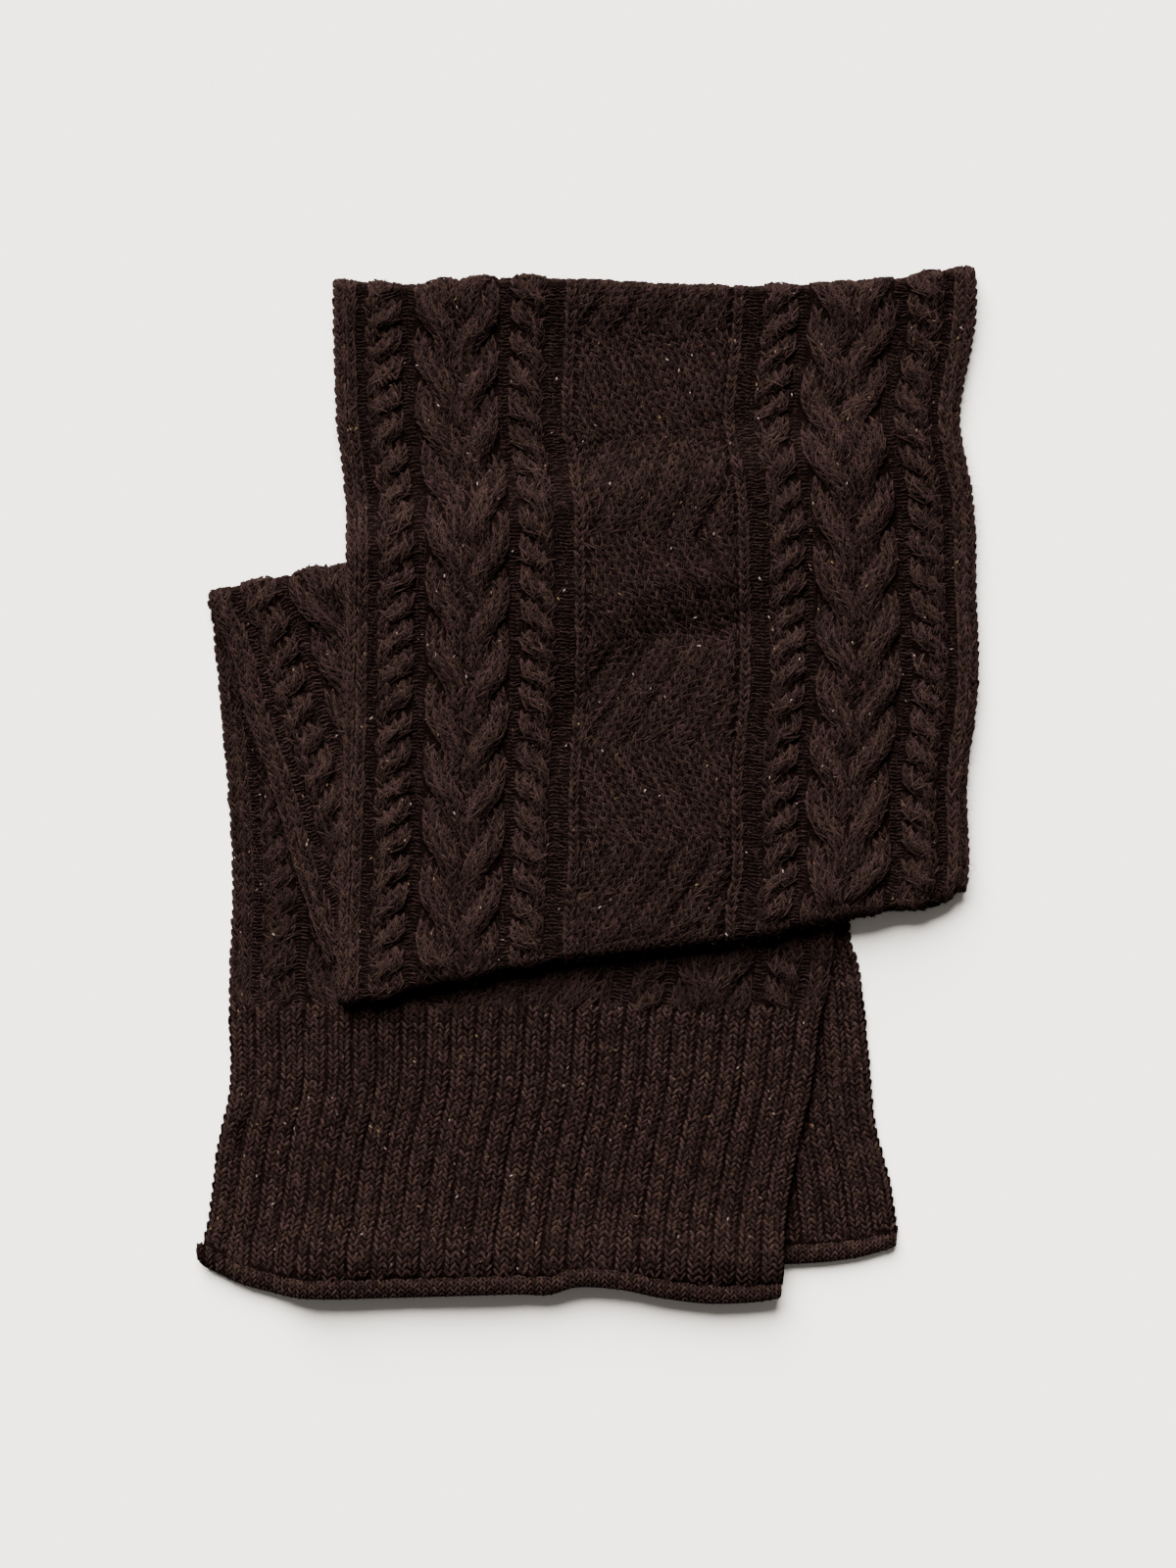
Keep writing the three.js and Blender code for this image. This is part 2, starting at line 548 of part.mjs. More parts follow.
// The hidden parts of the three lower stretches, as one body: flat below, rounded and grooved at its sides, and with
// the lie of the top stretch above
const CORE_COLUMNS = 12;
const CORE_INSET = 3;
const CORE_SPREAD = 14; // the core keeps under the lowest of the top stretch within this distance
const CORE_ROWS_AT = [225, 190, 160, 133, 127, 100, 64, 26, -14, -56];
function hiddenLayers() {
  const top = (x) => topFoldAt(x) - FOLD_ROOM;
  const bottom = (x) => lowFoldAt(x) + FOLD_ROOM + 3;
  const ends = [top(-134), bottom(-116)];
  const leftAt = (y) => (y > 130 ? leftOf(TOP_EDGES, y) + CORE_INSET : seamAt(y) + 2 * GAP);
  const grid = [ends[0], ...CORE_ROWS_AT, ends[1]].map((yLeft) =>
    range(CORE_COLUMNS + 1).map((j) => {
      const share = j / CORE_COLUMNS;
      const guess = mix(-130, 205, share);
      const y = mix(top(guess), bottom(guess), (ends[0] - yLeft) / (ends[0] - ends[1]));
      return [mix(leftAt(y), rightOf(TOP_EDGES, y) - CORE_INSET, share), y];
    }),
  );
  const middle = [40, 90];
  const round = [-1, 0, 1].flatMap((dx) => [-1, 0, 1].map((dy) => [dx * CORE_SPREAD, dy * CORE_SPREAD]));
  const heightAt = (x, y) => Math.min(...round.map(([dx, dy]) => topHeight(x + dx, y + dy))) - HALF - GAP;
  const positions = [];
  const indices = [];
  const put = (x, y, z, inset) => {
    const [dx, dy] = [middle[0] - x, middle[1] - y];
    const length = Math.hypot(dx, dy);
    positions.push(x + (dx / length) * inset, y + (dy / length) * inset, z);
    return positions.length / 3 - 1;
  };
  const last = grid.length - 1;
  const rim = [
    ...range(CORE_COLUMNS).map((j) => [0, j]),
    ...range(last).map((i) => [i, CORE_COLUMNS]),
    ...range(CORE_COLUMNS).map((j) => [last, CORE_COLUMNS - j]),
    ...range(last).map((i) => [last - i, 0]),
  ];
  const isRim = (i, j) => i === 0 || j === 0 || i === last || j === CORE_COLUMNS;
  const face = (upper) => {
    const ids = grid.map((row, i) =>
      row.map(([x, y], j) => put(x, y, upper ? heightAt(x, y) : 0, isRim(i, j) ? 1.6 : 0.001)),
    );
    for (const i of range(last))
      for (const j of range(CORE_COLUMNS)) {
        const [p, q, r, s] = [ids[i][j], ids[i][j + 1], ids[i + 1][j], ids[i + 1][j + 1]];
        if (upper) indices.push(p, r, q, q, r, s);
        else indices.push(p, q, r, q, s, r);
      }
    return rim.map(([i, j]) => ids[i][j]);
  };
  const loops = [face(true)];
  for (const level of [0.78, 0.5, 0.22])
    loops.push(
      rim.map(([i, j]) => {
        const [x, y] = grid[i][j];
        const height = heightAt(x, y);
        return put(x, y, height * level, level === 0.5 ? 1.5 * smooth((height - 5) / 4) + 0.01 : 0);
      }),
    );
  loops.push(face(false));
  for (const k of range(loops.length - 1))
    rim.forEach((_, n) => {
      const next = (n + 1) % rim.length;
      const [a, b, c, d] = [loops[k][n], loops[k][next], loops[k + 1][n], loops[k + 1][next]];
      indices.push(a, b, c, b, d, c);
    });
  return solid(positions, indices);
}

const group = new THREE.Group();
group.name = "folded_cable_knit_scarf";
const PARTS = [
  ["top_panel", topPanel()],
  ["slant_stretch", slantStretch()],
  ["front_end", frontEnd()],
  ["back_end", backEnd()],
  ["front_hem_roll", hemRoll(FRONT_HEM, FRONT_EDGES, frontHeight, 5)],
  ["back_hem_roll", hemRoll(BACK_HEM, BACK_EDGES, backHeight, 0)],
  ["hidden_layers", hiddenLayers()],
];

// The origin is the bottom centre of the whole
const box = new THREE.Box3();
for (const [, geometry] of PARTS) box.union(new THREE.Box3().setFromBufferAttribute(geometry.getAttribute("position")));
const centre = box.getCenter(new THREE.Vector3());
for (const [name, geometry] of PARTS) {
  geometry.translate(-centre.x, -centre.y, -box.min.z);
  const mesh = new THREE.Mesh(geometry, new THREE.MeshStandardMaterial({ color: YARN, roughness: 0.95, metalness: 0 }));
  mesh.name = name;
  group.add(mesh);
}

export default group;
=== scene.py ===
"""Blender scene of a folded cable-knit scarf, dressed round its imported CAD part.

Lengths are in millimetres in the tables and in the surfaces, and in metres once they are in a mesh.
"""

import logging
import math
from dataclasses import dataclass, replace
from enum import Enum
from typing import Callable, Sequence

import bpy
import numpy as np
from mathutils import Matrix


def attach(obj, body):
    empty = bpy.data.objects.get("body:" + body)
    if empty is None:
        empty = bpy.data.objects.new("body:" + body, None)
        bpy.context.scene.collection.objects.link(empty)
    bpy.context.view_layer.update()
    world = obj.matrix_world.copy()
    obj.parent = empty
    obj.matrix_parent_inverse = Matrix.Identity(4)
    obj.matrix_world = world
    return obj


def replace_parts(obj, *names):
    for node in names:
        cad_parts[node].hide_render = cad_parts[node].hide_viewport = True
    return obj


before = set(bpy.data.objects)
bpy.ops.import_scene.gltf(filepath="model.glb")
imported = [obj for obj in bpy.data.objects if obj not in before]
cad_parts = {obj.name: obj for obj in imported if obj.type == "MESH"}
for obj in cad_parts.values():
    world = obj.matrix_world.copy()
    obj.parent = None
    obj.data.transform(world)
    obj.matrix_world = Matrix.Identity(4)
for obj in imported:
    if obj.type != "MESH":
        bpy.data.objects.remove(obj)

LOG = logging.getLogger("scarf")
Array = np.ndarray
Field = Callable[[Array, Array], Array]

MM = 0.001
CENTRE = (-0.5404, 0.1747)  # the CAD's bounding-box centre in the tables' own plan

GROUND = 3.0  # thickness of the plain ground between the cables
HALF = GROUND / 2
PRESSED = 1.8  # what the cables add where another stretch lies on them
GAP = 0.3
STEP_UP = GROUND + PRESSED + GAP  # from one stretch to the next
TOP_PUFF = 3.4
LOW_PUFF = 2.4
INNER_PUFF = 1.4
PUFF_REACH = 42.0
RETURN = 11.0
FOLD_ROOM = 22.0
SIDE_DROP = 26.0
FAR_DROP = 90.0
ROW = 4.05  # one row of stitches
ROLL_WIDTH = 10.2
ROLL_HEIGHT = 7.6
FLATTENED = 0.36
FACE_ROOM = 1.2  # what a fold's outer face adds to its round
EDGE_REACH = 3.0  # how far in from its side edges the cloth thins
EDGE_THIN = 0.6  # its thickness at the edge, over the thickness elsewhere
FOLD_ROWS = 0.5  # a row's height on the middle of a fold, over its height elsewhere
TOP_PATTERN = 277.0  # y at which the top stretch's pattern starts


def smooth(value: Array) -> Array:
    """Ease a value from 0 to 1.

    Args:
        value: Numbers, clipped to 0 and 1 first.

    Returns:
        The eased numbers.
    """
    clipped = np.clip(value, 0.0, 1.0)
    return clipped**2 * (3 - 2 * clipped)


def mix(start: Array, end: Array, share: Array) -> Array:
    """Blend two values.

    Args:
        start: Value at share 0.
        end: Value at share 1.
        share: How far from start to end.

    Returns:
        The blend.
    """
    return start + (end - start) * share


class Curve:
    """A smooth curve through the rows of a short table."""

    def __init__(self, rows: Sequence[tuple[float, float]]) -> None:
        """Sort the rows and take the slope at each.

        Args:
            rows: Pairs of place and value.
        """
        ordered = sorted(rows)
        self.at = np.array([row[0] for row in ordered], float)
        self.value = np.array([row[1] for row in ordered], float)
        index = np.arange(len(ordered))
        before = np.maximum(index - 1, 0)
        after = np.minimum(index + 1, len(ordered) - 1)
        self.slope = (self.value[after] - self.value[before]) / (self.at[after] - self.at[before])

    def __call__(self, place: Array) -> Array:
        """Read the curve.

        Args:
            place: Where, held within the table.

        Returns:
            The values there.
        """
        held = np.clip(place, self.at[0], self.at[-1])
        i = np.clip(np.searchsorted(self.at, held, "right") - 1, 0, len(self.at) - 2)
        span = self.at[i + 1] - self.at[i]
        u = (held - self.at[i]) / span
        start = self.value[i] * (1 + 2 * u) * (1 - u) ** 2 + span * self.slope[i] * u * (1 - u) ** 2
        end = self.value[i + 1] * u**2 * (3 - 2 * u) + span * self.slope[i + 1] * u**2 * (u - 1)
        return start + end


class Edges:
    """The two side edges of a stretch, by how far up the plan they are."""

    def __init__(self, rows: Sequence[tuple[float, float, float]]) -> None:
        """Make a curve for each side.

        Args:
            rows: Rows of y, left and right.
        """
        self.left = Curve([(y, left) for y, left, _ in rows])
        self.right = Curve([(y, right) for y, _, right in rows])

    def x(self, share: Array, y: Array) -> Array:
        """Give the plan x at a share of the width.

        Args:
            share: From 0 at the left edge to 1 at the right.
            y: Plan y.

        Returns:
            Plan x.
        """
        return mix(self.left(y), self.right(y), share)

    def share(self, x: Array, y: Array) -> Array:
        """Give the share of the width at a plan place.

        Args:
            x: Plan x.
            y: Plan y.

        Returns:
            From 0 at the left edge to 1 at the right.
        """
        return (x - self.left(y)) / (self.right(y) - self.left(y))


# y, left, right
TOP = Edges([
    (287, -139, 213.5), (254, -140, 213), (216, -138.8, 206), (198, -138, 204.8), (156, -133, 212),
    (108, -132.3, 213.6), (54, -132.8, 214.6), (3, -133.9, 208.4), (-40, -135.1, 209.3),
    (-54, -135.5, 208.4), (-64, -135.8, 204.5), (-125, -137.5, 203.5),
])
FRONT = Edges([
    (180, -209, 131), (103, -207.9, 132), (48, -203, 133), (-16, -197.6, 134), (-59, -196, 135),
    (-103, -197.6, 134), (-130, -198, 128.5), (-167, -197.6, 123.7), (-200, -204.5, 116.5),
    (-240, -209.3, 109.4), (-254, -212.6, 108.6), (-290, -214, 106.5),
])
BACK = Edges([
    (287, -136, 210), (216, -134, 202), (157, -129, 206), (108, -122, 205), (54, -118, 196), (0, -116, 174),
    (-54, -116, 151), (-81, -117, 144), (-103, -121, 149.6), (-146, -130, 154.4), (-189, -139, 158.8),
    (-222, -145, 167), (-270, -151, 173.5),
])
SLANT_LEFT = Curve([
    (107, -208.6), (99, -208.4), (92, -206.2), (81.5, -200.3), (72, -197), (61, -194), (39, -188.7),
    (-4, -173.9), (-43, -163.1), (-82, -150.1), (-101, -143.6),
])
SLANT_RISE = 0.19
# share across, y
TOP_FOLD = Curve([
    (0, 279.7), (0.12, 276.5), (0.3, 280.2), (0.55, 275.8), (0.79, 277), (0.9, 281.3), (0.97, 286), (1, 284),
])
LOW_FOLD = Curve([
    (0, -122.4), (0.07, -119.6), (0.15, -111.6), (0.34, -99.9), (0.56, -90), (0.68, -85.6), (0.79, -76.4),
    (0.9, -70.6), (0.95, -69.2), (0.975, -67.9), (0.99, -65.2), (1, -60.0),
])
FRONT_HEM = Curve([
    (0, -257.4), (0.015, -260.8), (0.05, -268.5), (0.11, -274.5), (0.18, -278),
    (0.33, -277.5), (0.54, -275.6), (0.6, -276), (0.645, -271.8), (0.72, -273),
    (0.79, -277.6), (0.87, -280.8), (0.95, -280.6), (1, -278.6),
])
BACK_HEM = Curve([(0, -258), (0.5, -261), (0.8, -260.3), (0.92, -257.4), (1, -251.5)])
INNER_FOLD = (-207.4, 107.0, 0.197, 0.8)  # x, y, slope, curl
CURL_REACH = 30.0
INNER_DROP = 36.0
# Plan x of each side edge, near enough to find a fold's place from a share across
TOP_SPAN = (-134.0, 209.0)
FRONT_SPAN = (-197.6, 134.0)
INNER_SPAN = (-207.5, 132.0)
BACK_SPAN = (-121.0, 148.0)
CORE_SPAN = (-130.0, 205.0)
# Radius over which the knitting fades round a fold, and what is left of it on the fold
FAR_FADE = (4.3, 0.55)
NEAR_FADE = (3.8, 0.3)
INNER_FADE = (3.2, 0.5)
FRONT_RIB_TOP = -119.0
BACK_RIB_TOP = -104.0
STRIP_SHARE = 0.25
TOP_OF_FOLDS = 280.0
MIDDLE_OF_LOW = -90.0


@dataclass(frozen=True)
class Crease:
    """A soft trough (depth below 0) or ridge in the lie of the cloth."""

    x: float
    y: float
    length: float
    width: float
    depth: float
    turn: float

    def lift(self, x: Array, y: Array) -> Array:
        """Give the height that it adds.

        Args:
            x: Plan x.
            y: Plan y.

        Returns:
            Millimetres up.
        """
        dx, dy = x - self.x, y - self.y
        along = dx * math.cos(self.turn) + dy * math.sin(self.turn)
        beside = dy * math.cos(self.turn) - dx * math.sin(self.turn)
        return self.depth * np.exp(-((2 * along / self.length) ** 2) - (beside / self.width) ** 2)


TOP_CREASES = (
    Crease(72, 86, 100, 17, -3.0, 0.22),
    Crease(8, 48, 100, 19, -3.0, 0.85),
    Crease(60, 116, 130, 20, 1.6, 0.25),
    Crease(-14, 84, 80, 18, 1.4, 0.8),
    Crease(60, -30, 110, 30, 1.4, 0.2),
    Crease(120, 222, 120, 24, 1.3, 0.12),
    Crease(-70, 150, 90, 26, 1.2, 1.3),
)
FRONT_CREASES = (
    Crease(-60, -205, 110, 24, 1.4, 1.45),
    Crease(70, -190, 90, 22, 1.2, 1.7),
)
# Smaller ones that only the outer face has
TOP_DENTS = (
    Crease(60, 112, 66, 9, 1.1, 0.16),
    Crease(62, 84, 60, 9, -1.9, 0.1),
    Crease(24, 68, 46, 9, -1.5, 0.75),
    Crease(-2, 42, 60, 10, -1.2, 0.85),
    Crease(56, 206, 250, 27, 2.1, 0.19),
    Crease(-30, 200, 70, 12, -0.7, 1.2),
    Crease(160, 130, 60, 11, -0.7, 1.4),
    Crease(-100, 20, 80, 10, -0.6, 1.5),
    Crease(110, -20, 90, 14, -0.6, 0.35),
)
FRONT_DENTS = (
    Crease(-190, 34, 140, 2.8, -2.4, -1.266),
    Crease(-191, -196, 26, 5, -2.9, 1.3),
    Crease(-182, -206, 34, 7, 1.6, 1.35),
    Crease(-120, -190, 90, 8, -0.8, 1.5),
    Crease(10, -200, 100, 9, -0.8, 1.45),
    Crease(95, -210, 80, 8, -0.7, 1.4),
)
HEM_WAVES = ((-150, 46, 3.4), (-66, 34, 1.8), (78, 40, 2.6))  # x, width, height
HEM_WAVE_REACH = 70.0
OVER_ROLL = 4.9


def lifts(creases: Sequence[Crease], x: Array, y: Array) -> Array:
    """Add up creases.

    Args:
        creases: The creases.
        x: Plan x.
        y: Plan y.

    Returns:
        Millimetres up.
    """
    return sum(crease.lift(x, y) for crease in creases)


class Lie:
    """How the four stretches lie on each other, in plan and in height."""

    @staticmethod
    def top_fold(x: Array) -> Array:
        """Give the far fold's outermost y at x."""
        return TOP_FOLD(np.clip(TOP.share(x, TOP_OF_FOLDS), 0, 1))

    @staticmethod
    def low_fold(x: Array) -> Array:
        """Give the near fold's outermost y at x."""
        return LOW_FOLD(np.clip(TOP.share(x, MIDDLE_OF_LOW), 0, 1))

    @staticmethod
    def inner_fold(x: Array) -> Array:
        """Give the slanting stretch's own fold's outermost y at x."""
        left, y, slope, curl = INNER_FOLD
        return y + slope * (x - left) + curl * smooth((x - left) / CURL_REACH)

    @staticmethod
    def seam(y: Array) -> Array:
        """Give the x to which the hidden stretches leave the left free."""
        return FRONT.x(STRIP_SHARE, y)

    @staticmethod
    def slant_right(y: Array) -> Array:
        """Give the slanting stretch's hidden right edge."""
        return 131 + (174 - y) * 0.323

    @staticmethod
    def shade(inside: Array, reach: float) -> Array:
        """Fall softly from 1 inside an edge to 0 at reach outside it."""
        return smooth(1 + (inside + 2) / reach)

    @classmethod
    def on_back(cls, x: Array, y: Array) -> Array:
        """Say how fully the back stretch lifts what lies over it."""
        return (
            cls.shade(x - BACK.left(y), SIDE_DROP)
            * cls.shade(BACK.right(y) - x, FAR_DROP)
            * cls.shade(y - BACK_HEM(0.5) + ROLL_WIDTH / 2, SIDE_DROP)
        )

    @classmethod
    def on_front(cls, x: Array, y: Array) -> Array:
        """Say how fully the front stretch lifts what lies over it."""
        return (
            cls.shade(x - FRONT.left(y), SIDE_DROP)
            * cls.shade(FRONT.right(y) - x, FAR_DROP)
            * cls.shade(cls.inner_fold(x) - y, INNER_DROP)
        )

    @classmethod
    def on_slant(cls, x: Array, y: Array) -> Array:
        """Say how fully the slanting stretch lifts what lies over it."""
        return (
            cls.shade(x - SLANT_LEFT(y), SIDE_DROP)
            * cls.shade(cls.slant_right(y) - x, FAR_DROP * 0.7)
            * cls.shade(cls.inner_fold(x) - y, INNER_DROP)
        )

    @staticmethod
    def near(distance: Array) -> Array:
        """Give how much of a fold's puff is left at a distance from it."""
        return smooth(1 - np.abs(distance) / PUFF_REACH)

    @classmethod
    def back(cls, x: Array, y: Array) -> Array:
        """Give the height of the middle of the back stretch's ground."""
        return HALF + 0 * x * y

    @classmethod
    def front(cls, x: Array, y: Array) -> Array:
        """Give the height of the middle of the front stretch's ground."""
        waves = sum(height * np.exp(-(((x - at) / width) ** 2)) for at, width, height in HEM_WAVES)
        waves = waves * smooth((-y - 270 + HEM_WAVE_REACH) / HEM_WAVE_REACH)
        over = OVER_ROLL * cls.on_back(x, -250.0) * np.exp(-(((y - BACK_HEM(0.5)) / 15) ** 2))
        soft = np.maximum(0, lifts(FRONT_CREASES, x, y)) * smooth((-y - 130) / 30)
        return HALF + STEP_UP * cls.on_back(x, y) + waves + over + soft

    @classmethod
    def slant(cls, x: Array, y: Array) -> Array:
        """Give the height of the middle of the slanting stretch's ground."""
        puff = INNER_PUFF * cls.near(cls.inner_fold(x) - y)
        return HALF + STEP_UP * (cls.on_back(x, y) + cls.on_front(x, y)) + puff

    @classmethod
    def top(cls, x: Array, y: Array) -> Array:
        """Give the height of the middle of the top stretch's ground."""
        slant = cls.on_slant(x, y)
        puffs = (
            INNER_PUFF * cls.near(cls.inner_fold(x) - y) * slant
            + TOP_PUFF * cls.near(cls.top_fold(x) - y)
            + LOW_PUFF * cls.near(cls.low_fold(x) - y)
        )
        stack = STEP_UP * (cls.on_back(x, y) + cls.on_front(x, y) + slant)
        return HALF + stack + puffs + lifts(TOP_CREASES, x, y)

    @classmethod
    def under_top(cls, x: Array, y: Array) -> Array:
        """Give the height to which the near fold comes down."""
        return HALF + STEP_UP * (cls.on_back(x, y) + cls.on_front(x, y))

    @classmethod
    def end_top(cls, x: Array) -> Array:
        """Give the y at which the ends come out from under the near fold."""
        return cls.low_fold(np.maximum(x, cls.seam(-100.0))) + FOLD_ROOM - 3.2


class Kind(Enum):
    """The kinds of knitting that a band can have."""

    COLUMN = "column"
    PURL = "purl"
    ROPE = "rope"
    ZIGZAG = "zigzag"


ZIGZAG_PITCH = 19.5


@dataclass(frozen=True)
class Band:
    """A lengthwise band of one kind of knitting."""

    kind: Kind
    width: float
    height: float
    wales: int
    pitch: float = 0.0
    lean: int = 0
    phase: float = 0.0
    sharp: float = 1.15  # how suddenly the strands cross
    swing: float = 0.25  # how far each strand swings, over the band's width
    strand: float = 0.262  # half a strand's width, over the band's width
    late: float = 0.0  # how far a strand's rise lags its swing
    inward: float = 0.0  # how far the rope is drawn to the side away from its lean, over its width

    def strands(self, along: Array) -> list[tuple[Array, Array, Array]]:
        """Give where the two strands of a rope are.

        Args:
            along: Millimetres along the scarf.

        Returns:
            For each strand, its place across the band, its rise from -1 (under) to 1 (over), and how much
            wider its slant makes it.
        """
        uneven = 0.9 * np.sin(along / 19.0 + self.phase) + 0.8 * np.sin(along / 43.0 + 2.3 * self.phase)
        turn = math.pi * (along - self.phase + uneven) / self.pitch
        made = []
        for angle in (turn, turn + math.pi):
            swing = np.tanh(self.sharp * np.cos(angle)) / math.tanh(self.sharp)
            steep = (1 - np.tanh(self.sharp * np.cos(angle)) ** 2) * self.sharp / math.tanh(self.sharp)
            slope = self.width * self.swing * steep * np.sin(angle) * math.pi / self.pitch
            place = self.width * (0.5 + self.lean * (self.swing * swing - self.inward))
            place = place + 0.35 * np.sin(along / 29.0 + self.phase)
            made.append((place, np.sin(angle - self.late), np.sqrt(1 + np.minimum(slope**2, 1.4))))
        return made

    def domes(self, inside: Array, along: Array) -> list[Array]:
        """Give the height of each strand of a rope, with the arguments of relief."""
        made = []
        for place, over, wider in self.strands(along):
            off = (inside - place) / (self.strand * self.width * wider)
            made.append(self.height * (0.6 + 0.4 * over) * np.maximum(0, 1 - off**2) ** 0.6)
        return made

    def relief(self, inside: Array, along: Array) -> Array:
        """Give the height of the knitting over the ground.

        Args:
            inside: Millimetres from the band's left side.
            along: Millimetres along the scarf.

        Returns:
            Millimetres up.
        """
        if self.kind is Kind.ROPE:
            return np.maximum(*self.domes(inside, along))
        if self.kind is Kind.ZIGZAG:
            groove = np.abs(np.cos(math.pi * (inside + zigzag(along)) / ZIGZAG_PITCH)) ** 7
            edge = smooth(inside / 3.0) * smooth((self.width - inside) / 3.0)
            deep = 1.2 + 0.5 * np.sin(along / 31.0) * np.sin(inside / 17.0 + 1.0)
            return (self.height - deep * groove) * edge
        return self.height * np.maximum(0, np.sin(math.pi * np.clip(inside / self.width, 0, 1))) ** 0.5


def zigzag(along: Array) -> Array:
    """Give how far the zigzag has swung to the left.

    Args:
        along: Millimetres along the scarf.

    Returns:
        Millimetres.
    """
    phase = np.abs(((along - 28.6 + 1.5 * np.sin(along / 21.0)) / 113.4) % 1.0 * 2 - 1)
    return 16.5 * (2 * phase - 1)


WIDE = {"sharp": 0.75, "swing": 0.25, "strand": 0.325, "late": 0.35, "inward": 0.05}
HALF_BANDS = (
    Band(Kind.COLUMN, 12.0, 1.6, 2),
    Band(Kind.PURL, 5.3, 0.0, 1),
    Band(Kind.ROPE, 19.4, 3.3, 2, pitch=16.2, lean=1, phase=-2.7, strand=0.285),
    Band(Kind.PURL, 6.5, 0.0, 1),
    Band(Kind.ROPE, 23.2, 4.7, 3, pitch=32.4, lean=-1, phase=4.5, **WIDE),
    Band(Kind.ROPE, 23.2, 4.7, 3, pitch=32.4, lean=1, phase=10.5, **WIDE),
    Band(Kind.PURL, 5.4, 0.0, 1),
    Band(Kind.ROPE, 19.0, 3.3, 2, pitch=16.2, lean=-1, phase=0.5, strand=0.285),
    Band(Kind.PURL, 10.7, 0.0, 2),
    Band(Kind.COLUMN, 6.0, 0.9, 1),
)
FIELD = Band(Kind.ZIGZAG, 84.0, 1.9, 18)
RIGHT_LAG = -16.2  # the right half's crossings against the left's
BANDS = (
    *HALF_BANDS,
    FIELD,
    *(replace(band, lean=-band.lean, phase=band.phase + RIGHT_LAG) for band in reversed(HALF_BANDS)),
)
CLOTH_WIDTH = sum(band.width for band in BANDS)
RIBS = 24
RIB_HEIGHT = 2.2


def cable_relief(share: Array, along: Array) -> Array:
    """Give the height of the cabled cloth's knitting.

    Args:
        share: From 0 at the left edge to 1 at the right.
        along: Millimetres along the scarf.

    Returns:
        Millimetres over the ground.
    """
    share, along = np.broadcast_arrays(np.asarray(share, float), np.asarray(along, float))
    across = np.clip(share, 0, 1) * CLOTH_WIDTH
    relief = np.zeros_like(across)
    start = 0.0
    for band in BANDS:
        here = (across >= start) & (across <= start + band.width)
        relief[here] = band.relief(across[here] - start, along[here])
        start += band.width
    return relief


def rib_relief(share: Array) -> Array:
    """Give the height of the ribbing over the ground.

    Args:
        share: From 0 at the left edge to 1 at the right.

    Returns:
        Millimetres.
    """
    return RIB_HEIGHT * np.abs(np.sin(math.pi * RIBS * share)) ** 0.5


@dataclass(frozen=True)
class Wale:
    """A line of stitches: where it runs across, and how much it shows."""

    kind: Kind
    across: Callable[[Array], Array]
    shows: Callable[[Array], Array]
    width: float

    @property
    def purl(self) -> bool:
        """Say whether its stitches are purl."""
        return self.kind is Kind.PURL


def everywhere(along: Array) -> Array:
    """Say that a line of stitches shows all along."""
    return np.ones_like(along, bool)


def rope_wales(band: Band, start: float) -> list[Wale]:
    """List the lines of stitches of a rope, strand by strand."""
    wales = []
    width = 2 * band.strand * band.width / band.wales
    for number in (0, 1):
        for k in range(band.wales):
            off = (k - (band.wales - 1) / 2) * width * 0.9

            def inside(v: Array, n: int = number, o: float = off) -> Array:
                """Give the line's place across the band."""
                place, _, wider = band.strands(v)[n]
                return place + o * wider

            def shows(v: Array, n: int = number, inside: Callable[[Array], Array] = inside) -> Array:
                """Say where the line's strand is the upper one."""
                domes = band.domes(inside(v), v)
                return domes[n] > domes[1 - n] - 0.1

            wales.append(Wale(band.kind, lambda v, inside=inside: start + inside(v), shows, width))
    return wales


def cable_wales() -> list[Wale]:
    """List the lines of stitches of the cabled cloth, with across in millimetres from the left edge."""
    wales: list[Wale] = []
    start = 0.0
    for band in BANDS:
        pitch = band.width / band.wales
        if band.kind is Kind.ROPE:
            wales += rope_wales(band, start)
        elif band.kind is Kind.ZIGZAG:
            for k in range(-4, band.wales + 4):
                def across(v: Array, a: float = start, x: float = (k + 0.5) * pitch) -> Array:
                    """Give the line's place across the cloth."""
                    return a + x - zigzag(v)

                def shows(v: Array, x: float = (k + 0.5) * pitch, w: float = band.width) -> Array:
                    """Say where the line is inside the field."""
                    place = x - zigzag(v)
                    return (place > 1.0) & (place < w - 1.0)

                wales.append(Wale(band.kind, across, shows, pitch))
        else:
            for k in range(band.wales):
                place = start + (k + 0.5) * pitch
                wales.append(Wale(band.kind, lambda v, p=place: p + 0 * v, everywhere, pitch))
        start += band.width
    return wales


